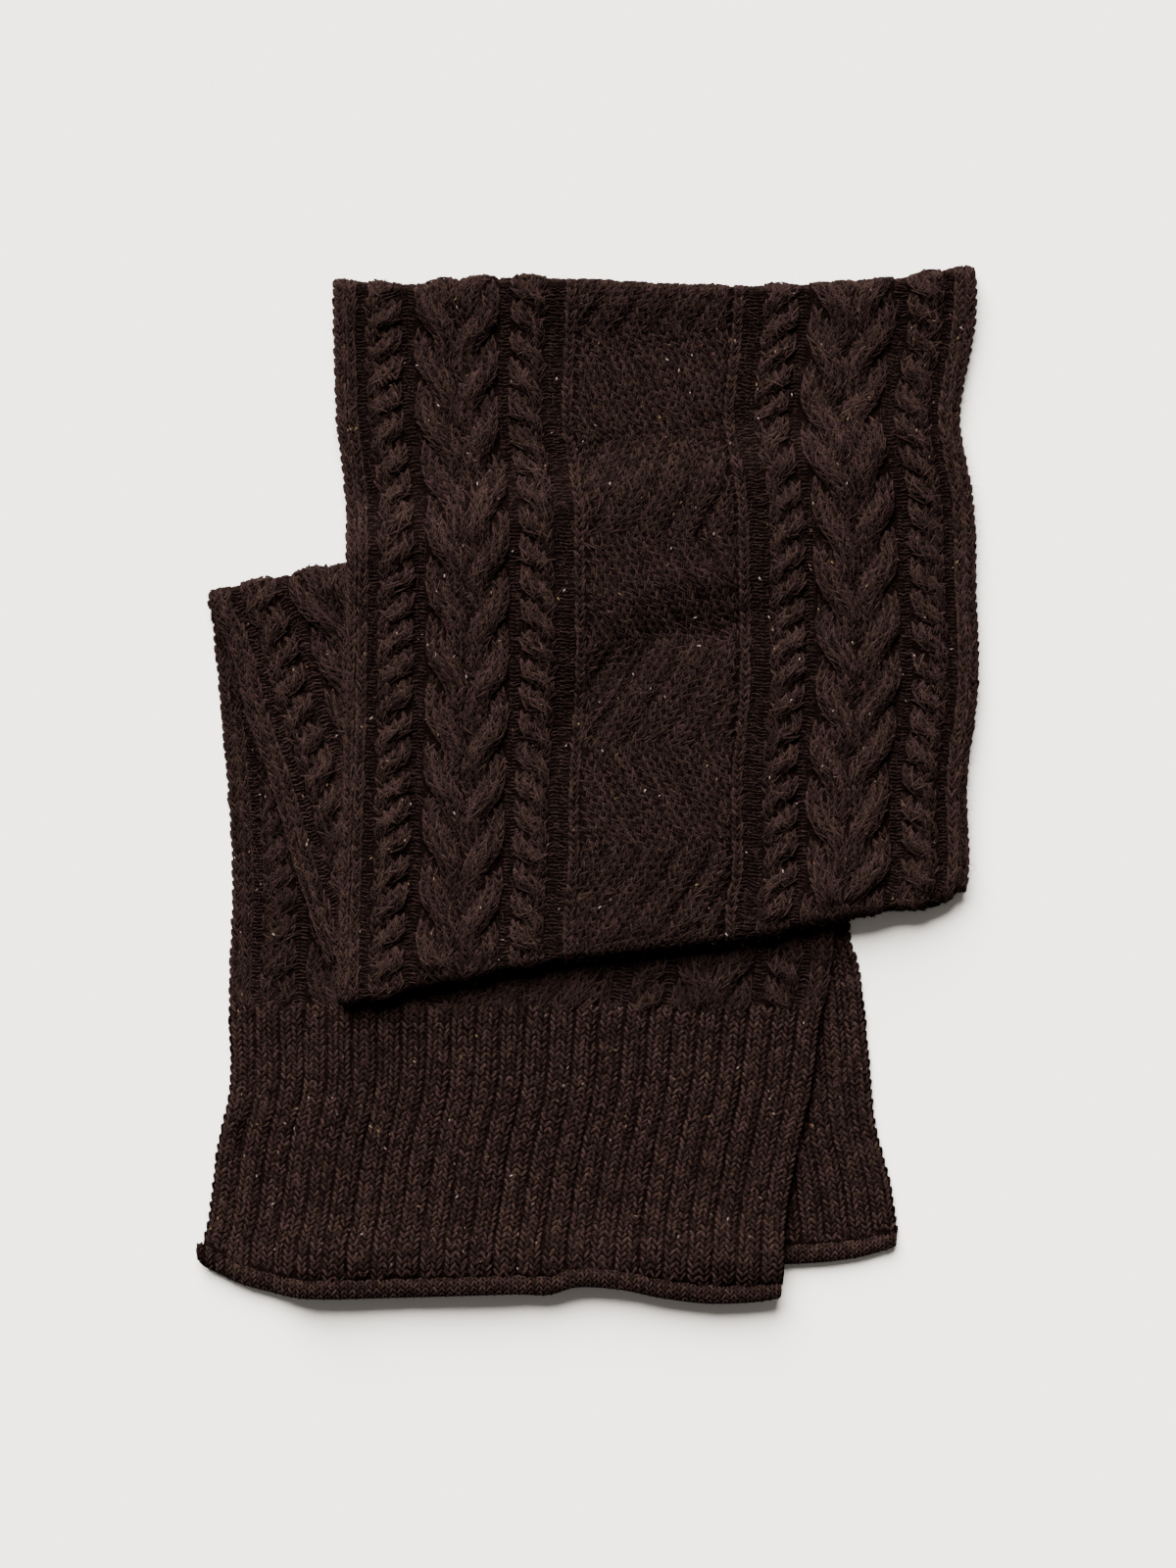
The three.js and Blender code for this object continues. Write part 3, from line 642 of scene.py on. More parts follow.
class Stretch:
    """A stretch of cloth as a surface over a share across and a plan y along it."""

    def middle(self, share: Array, y: Array) -> Array:
        """Give places on the middle of the ground.

        Args:
            share: From 0 at the left edge to 1 at the right.
            y: How far up the stretch, going on round its folds.

        Returns:
            Places, with x, y and z last.
        """
        raise NotImplementedError

    def relief(self, share: Array, y: Array) -> Array:
        """Give the height of the knitting there, with the same arguments as middle."""
        raise NotImplementedError

    def dents(self, share: Array, y: Array) -> Array:
        """Give what the outer face alone rises or sinks, with the same arguments as middle."""
        return np.zeros(np.broadcast(share, y).shape)

    def normal(self, surface: Field, share: Array, y: Array) -> Array:
        """Give a surface's outward normal.

        Args:
            surface: Gives places from a share and a y.
            share: Share across.
            y: How far up.

        Returns:
            Unit vectors.
        """
        step_s, step_y = 1.2 / CLOTH_WIDTH, 1.2
        low, high = np.maximum(share - step_s, 0.0), np.minimum(share + step_s, self.widest(y))
        across = surface(high, y) - surface(low, y)
        up = surface(share, y + step_y) - surface(share, y - step_y)
        normal = np.cross(across, up)
        return normal / np.maximum(np.linalg.norm(normal, axis=-1, keepdims=True), 1e-9)

    def widest(self, y: Array) -> Array:
        """Give the largest share that the stretch has at y."""
        return 1.0

    def settle(self, share: Array, y: Array) -> Array:
        """Draw rows of stitches closer on the middle where a fold spreads them on the outer face."""
        return y

    def unsettle(self, share: Array, y: Array) -> Array:
        """Undo settle."""
        return y

    def thinned(self, share: Array, y: Array) -> Array:
        """Give how much of its thickness the cloth keeps near its side edges."""
        side = np.minimum(share, self.widest(y) - share) * CLOTH_WIDTH
        return EDGE_THIN + (1 - EDGE_THIN) * np.clip(side / EDGE_REACH, 0, 1) ** 0.5

    def outer(self, share: Array, y: Array) -> Array:
        """Give places on the outer face, with the same arguments as middle."""
        lift = (HALF + self.relief(share, y) + self.dents(share, y)) * self.thinned(share, y)
        places = self.middle(share, y) + self.normal(self.middle, share, y) * lift[..., None]
        places[..., 2] = np.maximum(places[..., 2], 0.05)
        return places

    def inner(self, share: Array, y: Array) -> Array:
        """Give places on the inner face, with the same arguments as middle."""
        lift = -HALF * self.thinned(share, y)
        places = self.middle(share, y) + self.normal(self.middle, share, y) * lift[..., None]
        places[..., 2] = np.maximum(places[..., 2], 0.0)
        return places


def bend(row: Array, past: Array, low: Array, sign: float) -> Array:
    """Carry places round a half-round fold and back under it.

    Args:
        row: Places where the fold starts.
        past: Millimetres past that start, round the fold, 0 or less before it.
        low: Height at which the fold ends.
        sign: 1 for a fold toward +Y and -1 for one toward -Y.

    Returns:
        The places.
    """
    radius = (row[..., 2] - low) / 2
    angle = np.clip(past / radius, 0, math.pi)
    back = np.maximum(0, past - math.pi * radius)
    places = row.copy()
    places[..., 1] += sign * (radius * np.sin(angle) - back)
    places[..., 2] -= radius * (1 - np.cos(angle))
    return places


def fold_fade(past: Array, radius: float, keep: float) -> Array:
    """Give how much of the knitting's height is left past the start of a fold.

    Args:
        past: Millimetres past that start.
        radius: The fold's.
        keep: What is left on the fold.

    Returns:
        From 0 to 1.
    """
    return mix(keep, 1.0, smooth(-past / 7)) * smooth(1 - (np.maximum(past, 0) / radius - math.pi / 2) / 1.1)


class TopStretch(Stretch):
    """The top stretch, with the far and the near fold."""

    def far(self, share: Array) -> Array:
        """Give the y at which the far fold starts."""
        return Lie.top_fold(mix(*TOP_SPAN, share)) - (STEP_UP + TOP_PUFF) / 2 - HALF - FACE_ROOM

    def near(self, share: Array) -> Array:
        """Give the y at which the near fold starts."""
        return Lie.low_fold(mix(*TOP_SPAN, share)) + (STEP_UP + LOW_PUFF) / 2 + HALF + FACE_ROOM

    def settle(self, share: Array, y: Array) -> Array:
        """Draw rows closer on both folds."""
        far, near = self.far(share), self.near(share)
        held = np.where(y > far, far + (y - far) * FOLD_ROWS, y)
        return np.where(y < near, near + (y - near) * FOLD_ROWS, held)

    def unsettle(self, share: Array, y: Array) -> Array:
        """Undo settle."""
        far, near = self.far(share), self.near(share)
        held = np.where(y > far, far + (y - far) / FOLD_ROWS, y)
        return np.where(y < near, near + (y - near) / FOLD_ROWS, held)

    def row(self, share: Array, y: Array) -> Array:
        """Give places on the flat part of the stretch."""
        x = TOP.x(share, y)
        return np.stack(np.broadcast_arrays(x, y, Lie.top(x, y)), -1)

    def middle(self, share: Array, y: Array) -> Array:
        """Give the places, carried round both folds."""
        far, near = self.far(share), self.near(share)
        places = self.row(share, np.clip(y, near, far))
        below = Lie.under_top(places[..., 0], places[..., 1])
        beyond = bend(places, y - far, np.full(below.shape, HALF), 1.0)
        under = bend(places, near - y, below, -1.0)
        return beyond * (y >= near)[..., None] + under * (y < near)[..., None]

    def relief(self, share: Array, y: Array) -> Array:
        """Give the cables, faded out round the folds."""
        far, near = self.far(share), self.near(share)
        fade = fold_fade(y - far, *FAR_FADE) * fold_fade(near - y, *NEAR_FADE)
        return cable_relief(share, TOP_PATTERN - self.unsettle(share, y)) * fade

    def dents(self, share: Array, y: Array) -> Array:
        """Give the outer face's own creases."""
        return lifts(TOP_DENTS, TOP.x(share, y), y) + 0 * share


class SlantStretch(Stretch):
    """The slanting stretch where it shows, with its own fold."""

    start = INNER_FOLD[1] - (STEP_UP + INNER_PUFF) / 2 - HALF - FACE_ROOM

    def widest(self, y: Array) -> Array:
        """Give the share at which the top stretch covers it."""
        left = SLANT_LEFT(np.minimum(y, self.start))
        return (Lie.seam(y + SLANT_RISE * (Lie.seam(y) - left)) - left) / CLOTH_WIDTH

    def settle(self, share: Array, y: Array) -> Array:
        """Draw rows closer on the fold."""
        return np.where(y > self.start, self.start + (y - self.start) * FOLD_ROWS, y)

    def unsettle(self, share: Array, y: Array) -> Array:
        """Undo settle."""
        return np.where(y > self.start, self.start + (y - self.start) / FOLD_ROWS, y)

    def middle(self, share: Array, y: Array) -> Array:
        """Give the places, carried round the fold."""
        flat = np.minimum(y, self.start)
        left = SLANT_LEFT(flat)
        x = left + share * CLOTH_WIDTH
        curl = INNER_FOLD[3] * smooth((x - INNER_FOLD[0]) / CURL_REACH) * smooth(1 - (self.start - flat) / 40)
        up = flat + SLANT_RISE * (x - left) + curl
        places = np.stack(np.broadcast_arrays(x, up, Lie.slant(x, up)), -1)
        return bend(places, y - self.start, Lie.front(x, up), 1.0)

    def relief(self, share: Array, y: Array) -> Array:
        """Give the cables, pressed flat under the top stretch."""
        x = SLANT_LEFT(np.minimum(y, self.start)) + share * CLOTH_WIDTH
        pressed = mix(1.0, FLATTENED, smooth((x - TOP.left(y + SLANT_RISE * share * CLOTH_WIDTH) + 9) / 8))
        along = self.start - self.unsettle(share, y)
        return pressed * cable_relief(share, along) * fold_fade(y - self.start, *INNER_FADE)


class FrontStretch(Stretch):
    """The front stretch: cables down to the ribs, and the ribbed end."""

    def middle(self, share: Array, y: Array) -> Array:
        """Give the places, which lie flat."""
        x = FRONT.x(share, y)
        return np.stack(np.broadcast_arrays(x, y, Lie.front(x, y)), -1)

    def relief(self, share: Array, y: Array) -> Array:
        """Give the cables, pressed flat where they are covered, and the ribs."""
        x = FRONT.x(share, y)
        under_slant = smooth((x - SLANT_LEFT(y) + 9) / 8) * (y > -100)
        under = np.maximum(under_slant, smooth((y - Lie.low_fold(x) + 24) / 16))
        cables = mix(1.0, FLATTENED, under) * cable_relief(share, -y)
        return mix(cables, rib_relief(share), smooth((FRONT_RIB_TOP - y) / 8))

    def dents(self, share: Array, y: Array) -> Array:
        """Give the outer face's own creases."""
        return lifts(FRONT_DENTS, FRONT.x(share, y), y) + 0 * share


class BackStretch(Stretch):
    """The ribbed end of the back stretch."""

    def middle(self, share: Array, y: Array) -> Array:
        """Give the places, which lie flat."""
        x = BACK.x(share, y)
        return np.stack(np.broadcast_arrays(x, y, Lie.back(x, y)), -1)

    def relief(self, share: Array, y: Array) -> Array:
        """Give the ribs where the front stretch leaves them free."""
        shown = smooth((BACK.x(share, y) - FRONT.right(y) + 14) / 8)
        return shown * rib_relief(share) * smooth((BACK_RIB_TOP - y) / 8)


class HemRoll:
    """A rolled hem: a tube across the end of a stretch."""

    def __init__(self, name: str, line: Curve, edges: Edges, height: Field, tip: float) -> None:
        """Keep what the roll follows.

        Args:
            name: Its name.
            line: Its middle line.
            edges: The side edges of its stretch.
            height: Height of the middle of its stretch's ground.
            tip: Millimetres that it runs past the left edge.
        """
        self.name = name
        self.line = line
        self.edges = edges
        self.height = height
        self.tip = tip

    @staticmethod
    def size(share: Array) -> Array:
        """Give the roll's size over its largest."""
        tip = 0.26 * smooth(1 - share / 0.045)
        return 0.66 + 0.34 * np.minimum(1, 6 * (1 - share) + 0.25) ** 0.5 + tip

    @staticmethod
    def cap(share: Array) -> Array:
        """Give how a rounded end narrows the roll."""
        inside = np.clip(np.minimum(share / 0.015, (1 - share) / 0.009), 0, 1)
        return np.sqrt(np.maximum(1 - (1 - inside) ** 2, 0.02))

    def groove(self, share: Array) -> Array:
        """Give the y at which the stretch meets the roll."""
        return self.line(share) + ROLL_WIDTH / 2 * self.size(share) - 0.9 - 4.5 * smooth(1 - share / 0.035)

    def ring(self, share: Array, angle: Array, grow: float = 0.0) -> Array:
        """Give places round the roll.

        Args:
            share: Share across.
            angle: 0 at the groove, and a quarter turn at the top.
            grow: Millimetres outward.

        Returns:
            The places.
        """
        held = np.clip(share, 0.0, 1.0)
        y = self.line(held)
        x = mix(self.edges.left(y), self.edges.right(y) - 0.5, share) - self.tip * smooth(1 - share / 0.05)
        size = self.size(held)
        base = self.height(x, y + ROLL_WIDTH / 2) - HALF + ROLL_HEIGHT / 2 * size
        size = size * self.cap(held)
        wide = (ROLL_WIDTH / 2 * size + grow) * np.cos(angle)
        high = (ROLL_HEIGHT / 2 * size + grow) * np.sin(angle)
        return np.stack(np.broadcast_arrays(x, y + wide, np.maximum(base + high, 0.05)), -1)


def to_frame(places: Array) -> Array:
    """Move places from the tables' plan to the part's frame.

    Args:
        places: Millimetres, with x, y and z last.

    Returns:
        Metres.
    """
    return (places - np.array([CENTRE[0], CENTRE[1], 0.0])) * MM


def make_mesh(name: str, places: Array, faces: Sequence[Array], uv: Array | None = None) -> bpy.types.Object:
    """Make a smooth-shaded object from arrays.

    Args:
        name: The object's name.
        places: Millimetres in the tables' plan, one row a vertex.
        faces: Arrays of vertex numbers, each with one width of face.
        uv: Texture coordinates, one row a vertex.

    Returns:
        The object.
    """
    mesh = bpy.data.meshes.new(name)
    mesh.vertices.add(len(places))
    mesh.vertices.foreach_set("co", to_frame(places).astype(np.float32).ravel())
    loops = np.concatenate([part.ravel() for part in faces])
    sizes = np.concatenate([np.full(len(part), part.shape[1]) for part in faces])
    mesh.loops.add(len(loops))
    mesh.loops.foreach_set("vertex_index", loops.astype(np.int32))
    mesh.polygons.add(len(sizes))
    mesh.polygons.foreach_set("loop_start", np.concatenate([[0], np.cumsum(sizes)[:-1]]).astype(np.int32))
    mesh.polygons.foreach_set("use_smooth", np.ones(len(sizes), bool))
    if uv is not None:
        layer = mesh.uv_layers.new(name="UVMap")
        layer.data.foreach_set("uv", uv[loops].astype(np.float32).ravel())
    mesh.update(calc_edges=True)
    mesh.validate()
    thing = bpy.data.objects.new(name, mesh)
    bpy.context.scene.collection.objects.link(thing)
    return thing


def grid_faces(number: Array) -> tuple[Array, Array]:
    """Give the faces of a grid of vertices, seen from above and from below.

    Args:
        number: Grid of vertex numbers.

    Returns:
        The two grids of faces, each with its four vertices last.
    """
    a, b, c, d = number[:-1, :-1], number[:-1, 1:], number[1:, :-1], number[1:, 1:]
    return np.stack([a, c, d, b], -1), np.stack([a, b, d, c], -1)


def grid_shell(
    name: str, stretch: Stretch, shares: Array, ys: Array, keep: Array | None = None,
) -> bpy.types.Object:
    """Make a closed wall of cloth from a grid of shares and ys.

    Args:
        name: The object's name.
        stretch: The surface.
        shares: Grid of shares across, rows from the far end.
        ys: Grid of ys.
        keep: Which cells of the grid are cloth; all of them if left out.

    Returns:
        The object.
    """
    rows, columns = shares.shape
    outer = stretch.outer(shares, ys).reshape(-1, 3)
    inner = stretch.inner(shares, ys).reshape(-1, 3)
    count = rows * columns
    upper, lower = grid_faces(np.arange(count).reshape(rows, columns))
    cells = np.ones(upper.shape[:2], bool) if keep is None else keep
    quads, back = upper[cells], lower[cells] + count
    edges = np.concatenate([quads[:, [k, (k + 1) % 4]] for k in range(4)])
    forward = edges[:, 0].astype(np.int64) * count + edges[:, 1]
    reverse = edges[:, 1].astype(np.int64) * count + edges[:, 0]
    open_edges = edges[~np.isin(forward, reverse)]
    start, end = open_edges.T
    rim = np.stack([end, start, start + count, end + count], -1)
    faces = np.concatenate([quads, back, rim])
    used, compact = np.unique(faces, return_inverse=True)
    places = np.concatenate([outer, inner])[used]
    return make_mesh(name, places, [compact.reshape(faces.shape)])


def unit(vectors: Array) -> Array:
    """Scale vectors to length 1."""
    return vectors / np.maximum(np.linalg.norm(vectors, axis=-1, keepdims=True), 1e-9)


@dataclass
class Grains:
    """Many small spindles, each with a place, an axis, a side, an upward direction and half sizes."""

    at: Array
    axis: Array
    side: Array
    up: Array
    length: Array
    width: Array
    height: Array

    @staticmethod
    def join(parts: Sequence["Grains"]) -> "Grains":
        """Join several sets into one."""
        names = ("at", "axis", "side", "up", "length", "width", "height")
        return Grains(*(np.concatenate([getattr(part, name) for part in parts]) for name in names))

    def plied(self, rng: np.random.Generator, cross: float = 0.16) -> "Grains":
        """Split each spindle into two plies that lie side by side, a little crossed.

        Args:
            rng: Seeded random numbers.
            cross: How much they cross.

        Returns:
            Twice as many spindles.
        """
        plies = []
        crossed = rng.normal(cross, 0.07, len(self.at))
        for sign in (-1.0, 1.0):
            axis = unit(self.axis + self.side * (sign * crossed)[:, None])
            slip = rng.normal(0, 0.12, len(self.at)) * self.length
            at = self.at + self.side * (sign * 0.5 * self.width)[:, None] + self.axis * slip[:, None]
            rise = rng.normal(0, 0.09, len(self.at))
            plies.append(replace(
                self, at=at + self.up * rise[:, None], axis=axis, side=unit(np.cross(self.up, axis)),
                width=self.width * 0.56, height=self.height * 0.9,
            ))
        return Grains.join(plies)

    def build(self, name: str, rng: np.random.Generator) -> bpy.types.Object:
        """Make the spindles as one mesh, open below, with a texture coordinate along each.

        Args:
            name: The object's name.
            rng: Seeded random numbers.

        Returns:
            The object.
        """
        stations = np.array([-0.6, 0.0, 0.6])
        swell = np.array([0.88, 1.0, 0.82])
        arc = np.radians([-8, 90, 188])
        count = len(self.at)
        ring = (
            self.at[:, None, None, :]
            + self.axis[:, None, None, :] * (stations[None, :, None] * self.length[:, None, None])[..., None]
            + self.side[:, None, None, :]
            * (np.cos(arc)[None, None, :] * swell[None, :, None] * self.width[:, None, None])[..., None]
            + self.up[:, None, None, :]
            * (np.sin(arc)[None, None, :] * swell[None, :, None] * self.height[:, None, None])[..., None]
        )
        tips = (
            self.at[:, None, :]
            + self.axis[:, None, :] * (np.array([-1.0, 1.0])[None, :] * self.length[:, None])[..., None]
            - self.up[:, None, :] * (0.3 * self.height)[:, None, None]
        )
        vertices = 11  # of a spindle
        places = np.concatenate([ring.reshape(count, 9, 3), tips], 1).reshape(-1, 3)
        places[:, 2] = np.maximum(places[:, 2], 0.05)
        base = (np.arange(count) * vertices)[:, None]
        quads = np.array([
            [3 * r + k, 3 * r + k + 1, 3 * r + 4 + k, 3 * r + 3 + k] for r in (0, 1) for k in (0, 1)
        ])
        ends = np.array([[9, k + 1, k] for k in (0, 1)] + [[10, 6 + k, 7 + k] for k in (0, 1)])
        quads = (base[..., None] + quads[None]).reshape(-1, 4)
        ends = (base[..., None] + ends[None]).reshape(-1, 3)
        # The coordinate across each spindle carries the painted shade on its sides; the whole-number shift gives each
        # spindle its own random tone.
        along = np.concatenate([np.repeat(stations, 3), [-0.98, 0.98]])
        around = np.concatenate([np.tile(np.linspace(0, 1, 3), 3), [0.5, 0.5]])
        shift = rng.integers(0, 60, (count, 2))
        uv = np.stack([around[None] * 0.98 + 0.01 + shift[:, :1], (along[None] + 1) / 2 + shift[:, 1:]], -1)
        uv = uv.reshape(-1, 2)
        return make_mesh(name, places, [quads, ends], uv)


@dataclass(frozen=True)
class LegShape:
    """The form of a knit stitch's legs."""

    row: float = ROW
    length: float = 0.92  # half length over the row
    width: float = 0.235  # half width over the line's width
    height: float = 0.95
    splay: float = 0.38
    space: float = 0.24  # a leg's distance from the middle of its line, over the line's width
    plied: bool = True


CABLE_LEGS = LegShape()
FIELD_LEGS = LegShape(length=0.76, width=0.225, height=1.0, splay=0.46)
RIB_LEGS = LegShape(row=3.2, length=0.76, width=0.16, height=0.72, splay=0.64, space=0.235, plied=False)
PURL_HEIGHT = 1.0
PURL_REACH = 0.40  # half length of half a bump over the line's width
PURL_WIDTH = 0.155  # half width over the row
PURL_ARCH = 0.26


def stitches(stretch: Stretch, share: Array, y: Array, next_share: Array, width: Array, arch: Array,
             rng: np.random.Generator, shape: LegShape) -> Grains:
    """Lay knit legs in pairs, and purl bumps, on a stretch.

    Args:
        stretch: The surface.
        share: Share across at the head of each stitch.
        y: Plan y there.
        next_share: Share across one row further down.
        width: Width of each stitch's line.
        arch: 0 for knit, and how much a purl bump is arched.
        rng: Seeded random numbers.
        shape: The knit legs' form.

    Returns:
        The grains.
    """
    low = stretch.settle(next_share, y - shape.row)
    y = stretch.settle(share, y)
    middle_share, middle_y = (share + next_share) / 2, (y + low) / 2
    centre = stretch.outer(middle_share, middle_y)
    up = stretch.normal(stretch.outer, middle_share, middle_y)
    down = stretch.outer(next_share, low) - stretch.outer(share, y)
    row = np.minimum(np.linalg.norm(down, axis=-1), 1.45 * shape.row)
    down = unit(down)
    side = unit(np.cross(up, down))
    knit, purl = arch == 0, arch != 0
    parts = []
    for sign in (-1.0, 1.0):
        jitter = rng.normal(0, 0.09, knit.sum())
        axis = unit(down[knit] - sign * side[knit] * (shape.splay + jitter)[:, None])
        size = rng.normal(1, 0.09, knit.sum())
        sway = sign * shape.space * width[knit] + rng.normal(0, 0.16, knit.sum())
        rise = rng.normal(-0.1, 0.1, knit.sum())
        parts.append(Grains(
            centre[knit] + side[knit] * sway[:, None] + up[knit] * rise[:, None], axis,
            unit(np.cross(up[knit], axis)), up[knit],
            shape.length * row[knit] * size, shape.width * width[knit] * size, shape.height * size,
        ))
    legs = Grains.join(parts)
    made = [legs.plied(rng) if shape.plied else legs]
    for sign in (-1.0, 1.0):
        tilt = rng.normal(PURL_ARCH * sign, 0.16, purl.sum()) * arch[purl]
        axis = unit(side[purl] + down[purl] * tilt[:, None])
        size = rng.normal(1, 0.13, purl.sum())
        out = sign * 0.27 * width[purl]
        slip = rng.normal(0, 0.25, purl.sum())
        made.append(Grains(
            centre[purl] + side[purl] * out[:, None] + down[purl] * slip[:, None] - up[purl] * 0.2, axis,
            unit(np.cross(up[purl], axis)), up[purl],
            PURL_REACH * width[purl] * size, PURL_WIDTH * row[purl] * size, PURL_HEIGHT * size,
        ))
    return Grains.join(made)


KNOT = 5.4  # from one knot of a selvedge to the next
KNOT_RADIUS = 1.7
RIB_LINES = (-0.226, 0.226)  # a rib's two lines of stitches, from its middle
RIB_LINE_WIDTH = 6.15


def selvedge(stretch: Stretch, y: Array, right: bool, rng: np.random.Generator) -> Grains:
    """Lay a chain of knots down one side edge.

    Args:
        stretch: The surface.
        y: Plan y of each knot.
        right: Whether it is the right edge.
        rng: Seeded random numbers.

    Returns:
        The grains.
    """
    share = stretch.widest(y) * np.ones_like(y) if right else np.zeros_like(y)
    outer, inner = stretch.outer(share, y), stretch.inner(share, y)
    down = unit(stretch.outer(share, y - 1.0) - outer)
    inside = stretch.outer(np.abs(share - 4 / CLOTH_WIDTH), y)
    out = unit(outer - inside)
    out = unit(out - down * (out * down).sum(-1, keepdims=True))
    size = rng.normal(1, 0.12, len(y))
    tilt = rng.normal(0.25, 0.12, len(y)) * (1 if right else -1)
    axis = unit(down + np.cross(out, down) * tilt[:, None])
    across = unit(np.cross(out, axis))
    return Grains(
        (outer + inner) / 2 - out * 0.45, axis, across, out, 0.56 * KNOT * size, KNOT_RADIUS * size, KNOT_RADIUS * size,
    )


def lay_cables(stretch: Stretch, ys: Array, along: Callable[[Array], Array], shown: Field,
               kinds: Callable[[Wale], bool], rng: np.random.Generator,
               shape: LegShape = CABLE_LEGS) -> Grains:
    """Lay the stitches of the cabled cloth.

    Args:
        stretch: The surface.
        ys: Plan y of each row's head.
        along: Gives the pattern's place from y.
        shown: Says from share and y where stitches are wanted.
        kinds: Says which lines of stitches are wanted.
        rng: Seeded random numbers.
        shape: The knit legs' form.

    Returns:
        The grains.
    """
    columns: list[list[Array]] = [[], [], [], [], []]
    for number, wale in enumerate(cable_wales()):
        if not kinds(wale):
            continue
        heads = ys
        arch = np.zeros(len(ys))
        if wale.purl:
            heads = ys[0] - np.arange(2 * len(ys)) * (ROW / 2) - 0.25 * ROW * (number % 2)
            arch = np.where(np.arange(len(heads)) % 2, 1.0, 0.5) * (1.0 if number % 2 else -1.0)
        y = heads + rng.uniform(-0.3, 0.3) * ROW + rng.normal(0, 0.2, len(heads))
        v = along(y)
        share = wale.across(v) / CLOTH_WIDTH
        after = wale.across(along(y - ROW)) / CLOTH_WIDTH
        fine = wale.shows(v) & shown(share, stretch.settle(share, y))
        for column, values in zip(columns, (share, y, after, wale.width + 0 * y, arch)):
            column.append(values[fine])
    share, y, after, width, arch = (np.concatenate(column) for column in columns)
    return stitches(stretch, share, y, after, width, arch, rng, shape)


def lay_ribs(stretch: Stretch, ys: Array, shown: Field, rng: np.random.Generator) -> Grains:
    """Lay the stitches of the ribbing: two lines of knit stitches on each rib, with a furrow between.

    Args:
        stretch: The surface.
        ys: Plan y of each row's head.
        shown: Says from share and y where stitches are wanted.
        rng: Seeded random numbers.

    Returns:
        The grains.
    """
    parts: list[list[Array]] = [[], [], []]
    for rib in range(RIBS):
        for off in RIB_LINES:
            y = ys + rng.uniform(-0.3, 0.3) * RIB_LEGS.row + rng.normal(0, 0.18, len(ys))
            wander = 0.008 * np.sin(y / 23.0 + 1.7 * rib) + 0.010 * np.sin(y / 7.0 + 2.9 * rib + 9 * off)
            share = (rib + 0.5 + off + wander) / RIBS
            fine = shown(share, y)
            for column, values in zip(parts, (share, y, RIB_LINE_WIDTH + 0 * y)):
                column.append(values[fine])
    share, y, width = (np.concatenate(column) for column in parts)
    return stitches(stretch, share, y, share, width, np.zeros(len(y)), rng, RIB_LEGS)


def lay_fuzz(
    name: str, stretches: Sequence[tuple[Stretch, Array, Array]], rng: np.random.Generator,
) -> bpy.types.Object:
    """Strew short loose hairs over the cloth, as thin ribbons.

    Args:
        name: The object's name.
        stretches: Stretches with the shares and ys of their hairs.
        rng: Seeded random numbers.

    Returns:
        The object.
    """
    roots, ups, sides = [], [], []
    for stretch, share, y in stretches:
        place = stretch.outer(share, y)
        up = stretch.normal(stretch.outer, share, y)
        heading = rng.normal(0, 1, place.shape)
        side = unit(heading - up * (heading * up).sum(-1, keepdims=True))
        roots.append(place + up * 0.5)
        ups.append(up)
        sides.append(side)
    root, up, side = np.concatenate(roots), np.concatenate(ups), np.concatenate(sides)
    count = len(root)
    length = rng.gamma(5.0, 0.75, count)
    lift = rng.uniform(0.05, 0.75, count)
    bow = rng.normal(0, 0.45, count)
    wide = unit(np.cross(side, up))
    steps = np.array([0.0, 0.35, 0.7, 1.0])
    thick = np.array([0.05, 0.05, 0.04, 0.012])
    line = (
        root[:, None]
        + side[:, None] * (steps[None] * length[:, None])[..., None]
        + up[:, None] * (np.sin(steps * 2.2)[None] * (lift * length * 0.5)[:, None])[..., None]
        + wide[:, None] * ((steps**2)[None] * (bow * length)[:, None])[..., None]
    )
    offset = wide[:, None] * thick[None, :, None]
    places = np.stack([line - offset, line + offset], 2).reshape(-1, 3)
    places[:, 2] = np.maximum(places[:, 2], 0.06)
    base = (np.arange(count) * 8)[:, None, None]
    quads = np.array([[2 * k, 2 * k + 2, 2 * k + 3, 2 * k + 1] for k in range(3)])
    return make_mesh(name, places, [(base + quads[None]).reshape(-1, 4)])


CORE_GRID = 64
CORE_INSET = 3.0
CORE_SPREAD = 14.0
CORE_MIDDLE = (40.0, 90.0)
CORE_LOOPS = 22


def core_height(x: Array, y: Array) -> Array:
    """Give the height of the hidden stretches: under the lowest of the top stretch round about."""
    steps = (-CORE_SPREAD, 0.0, CORE_SPREAD)
    return np.min([Lie.top(x + dx, y + dy) for dx in steps for dy in steps], axis=0) - HALF - GAP


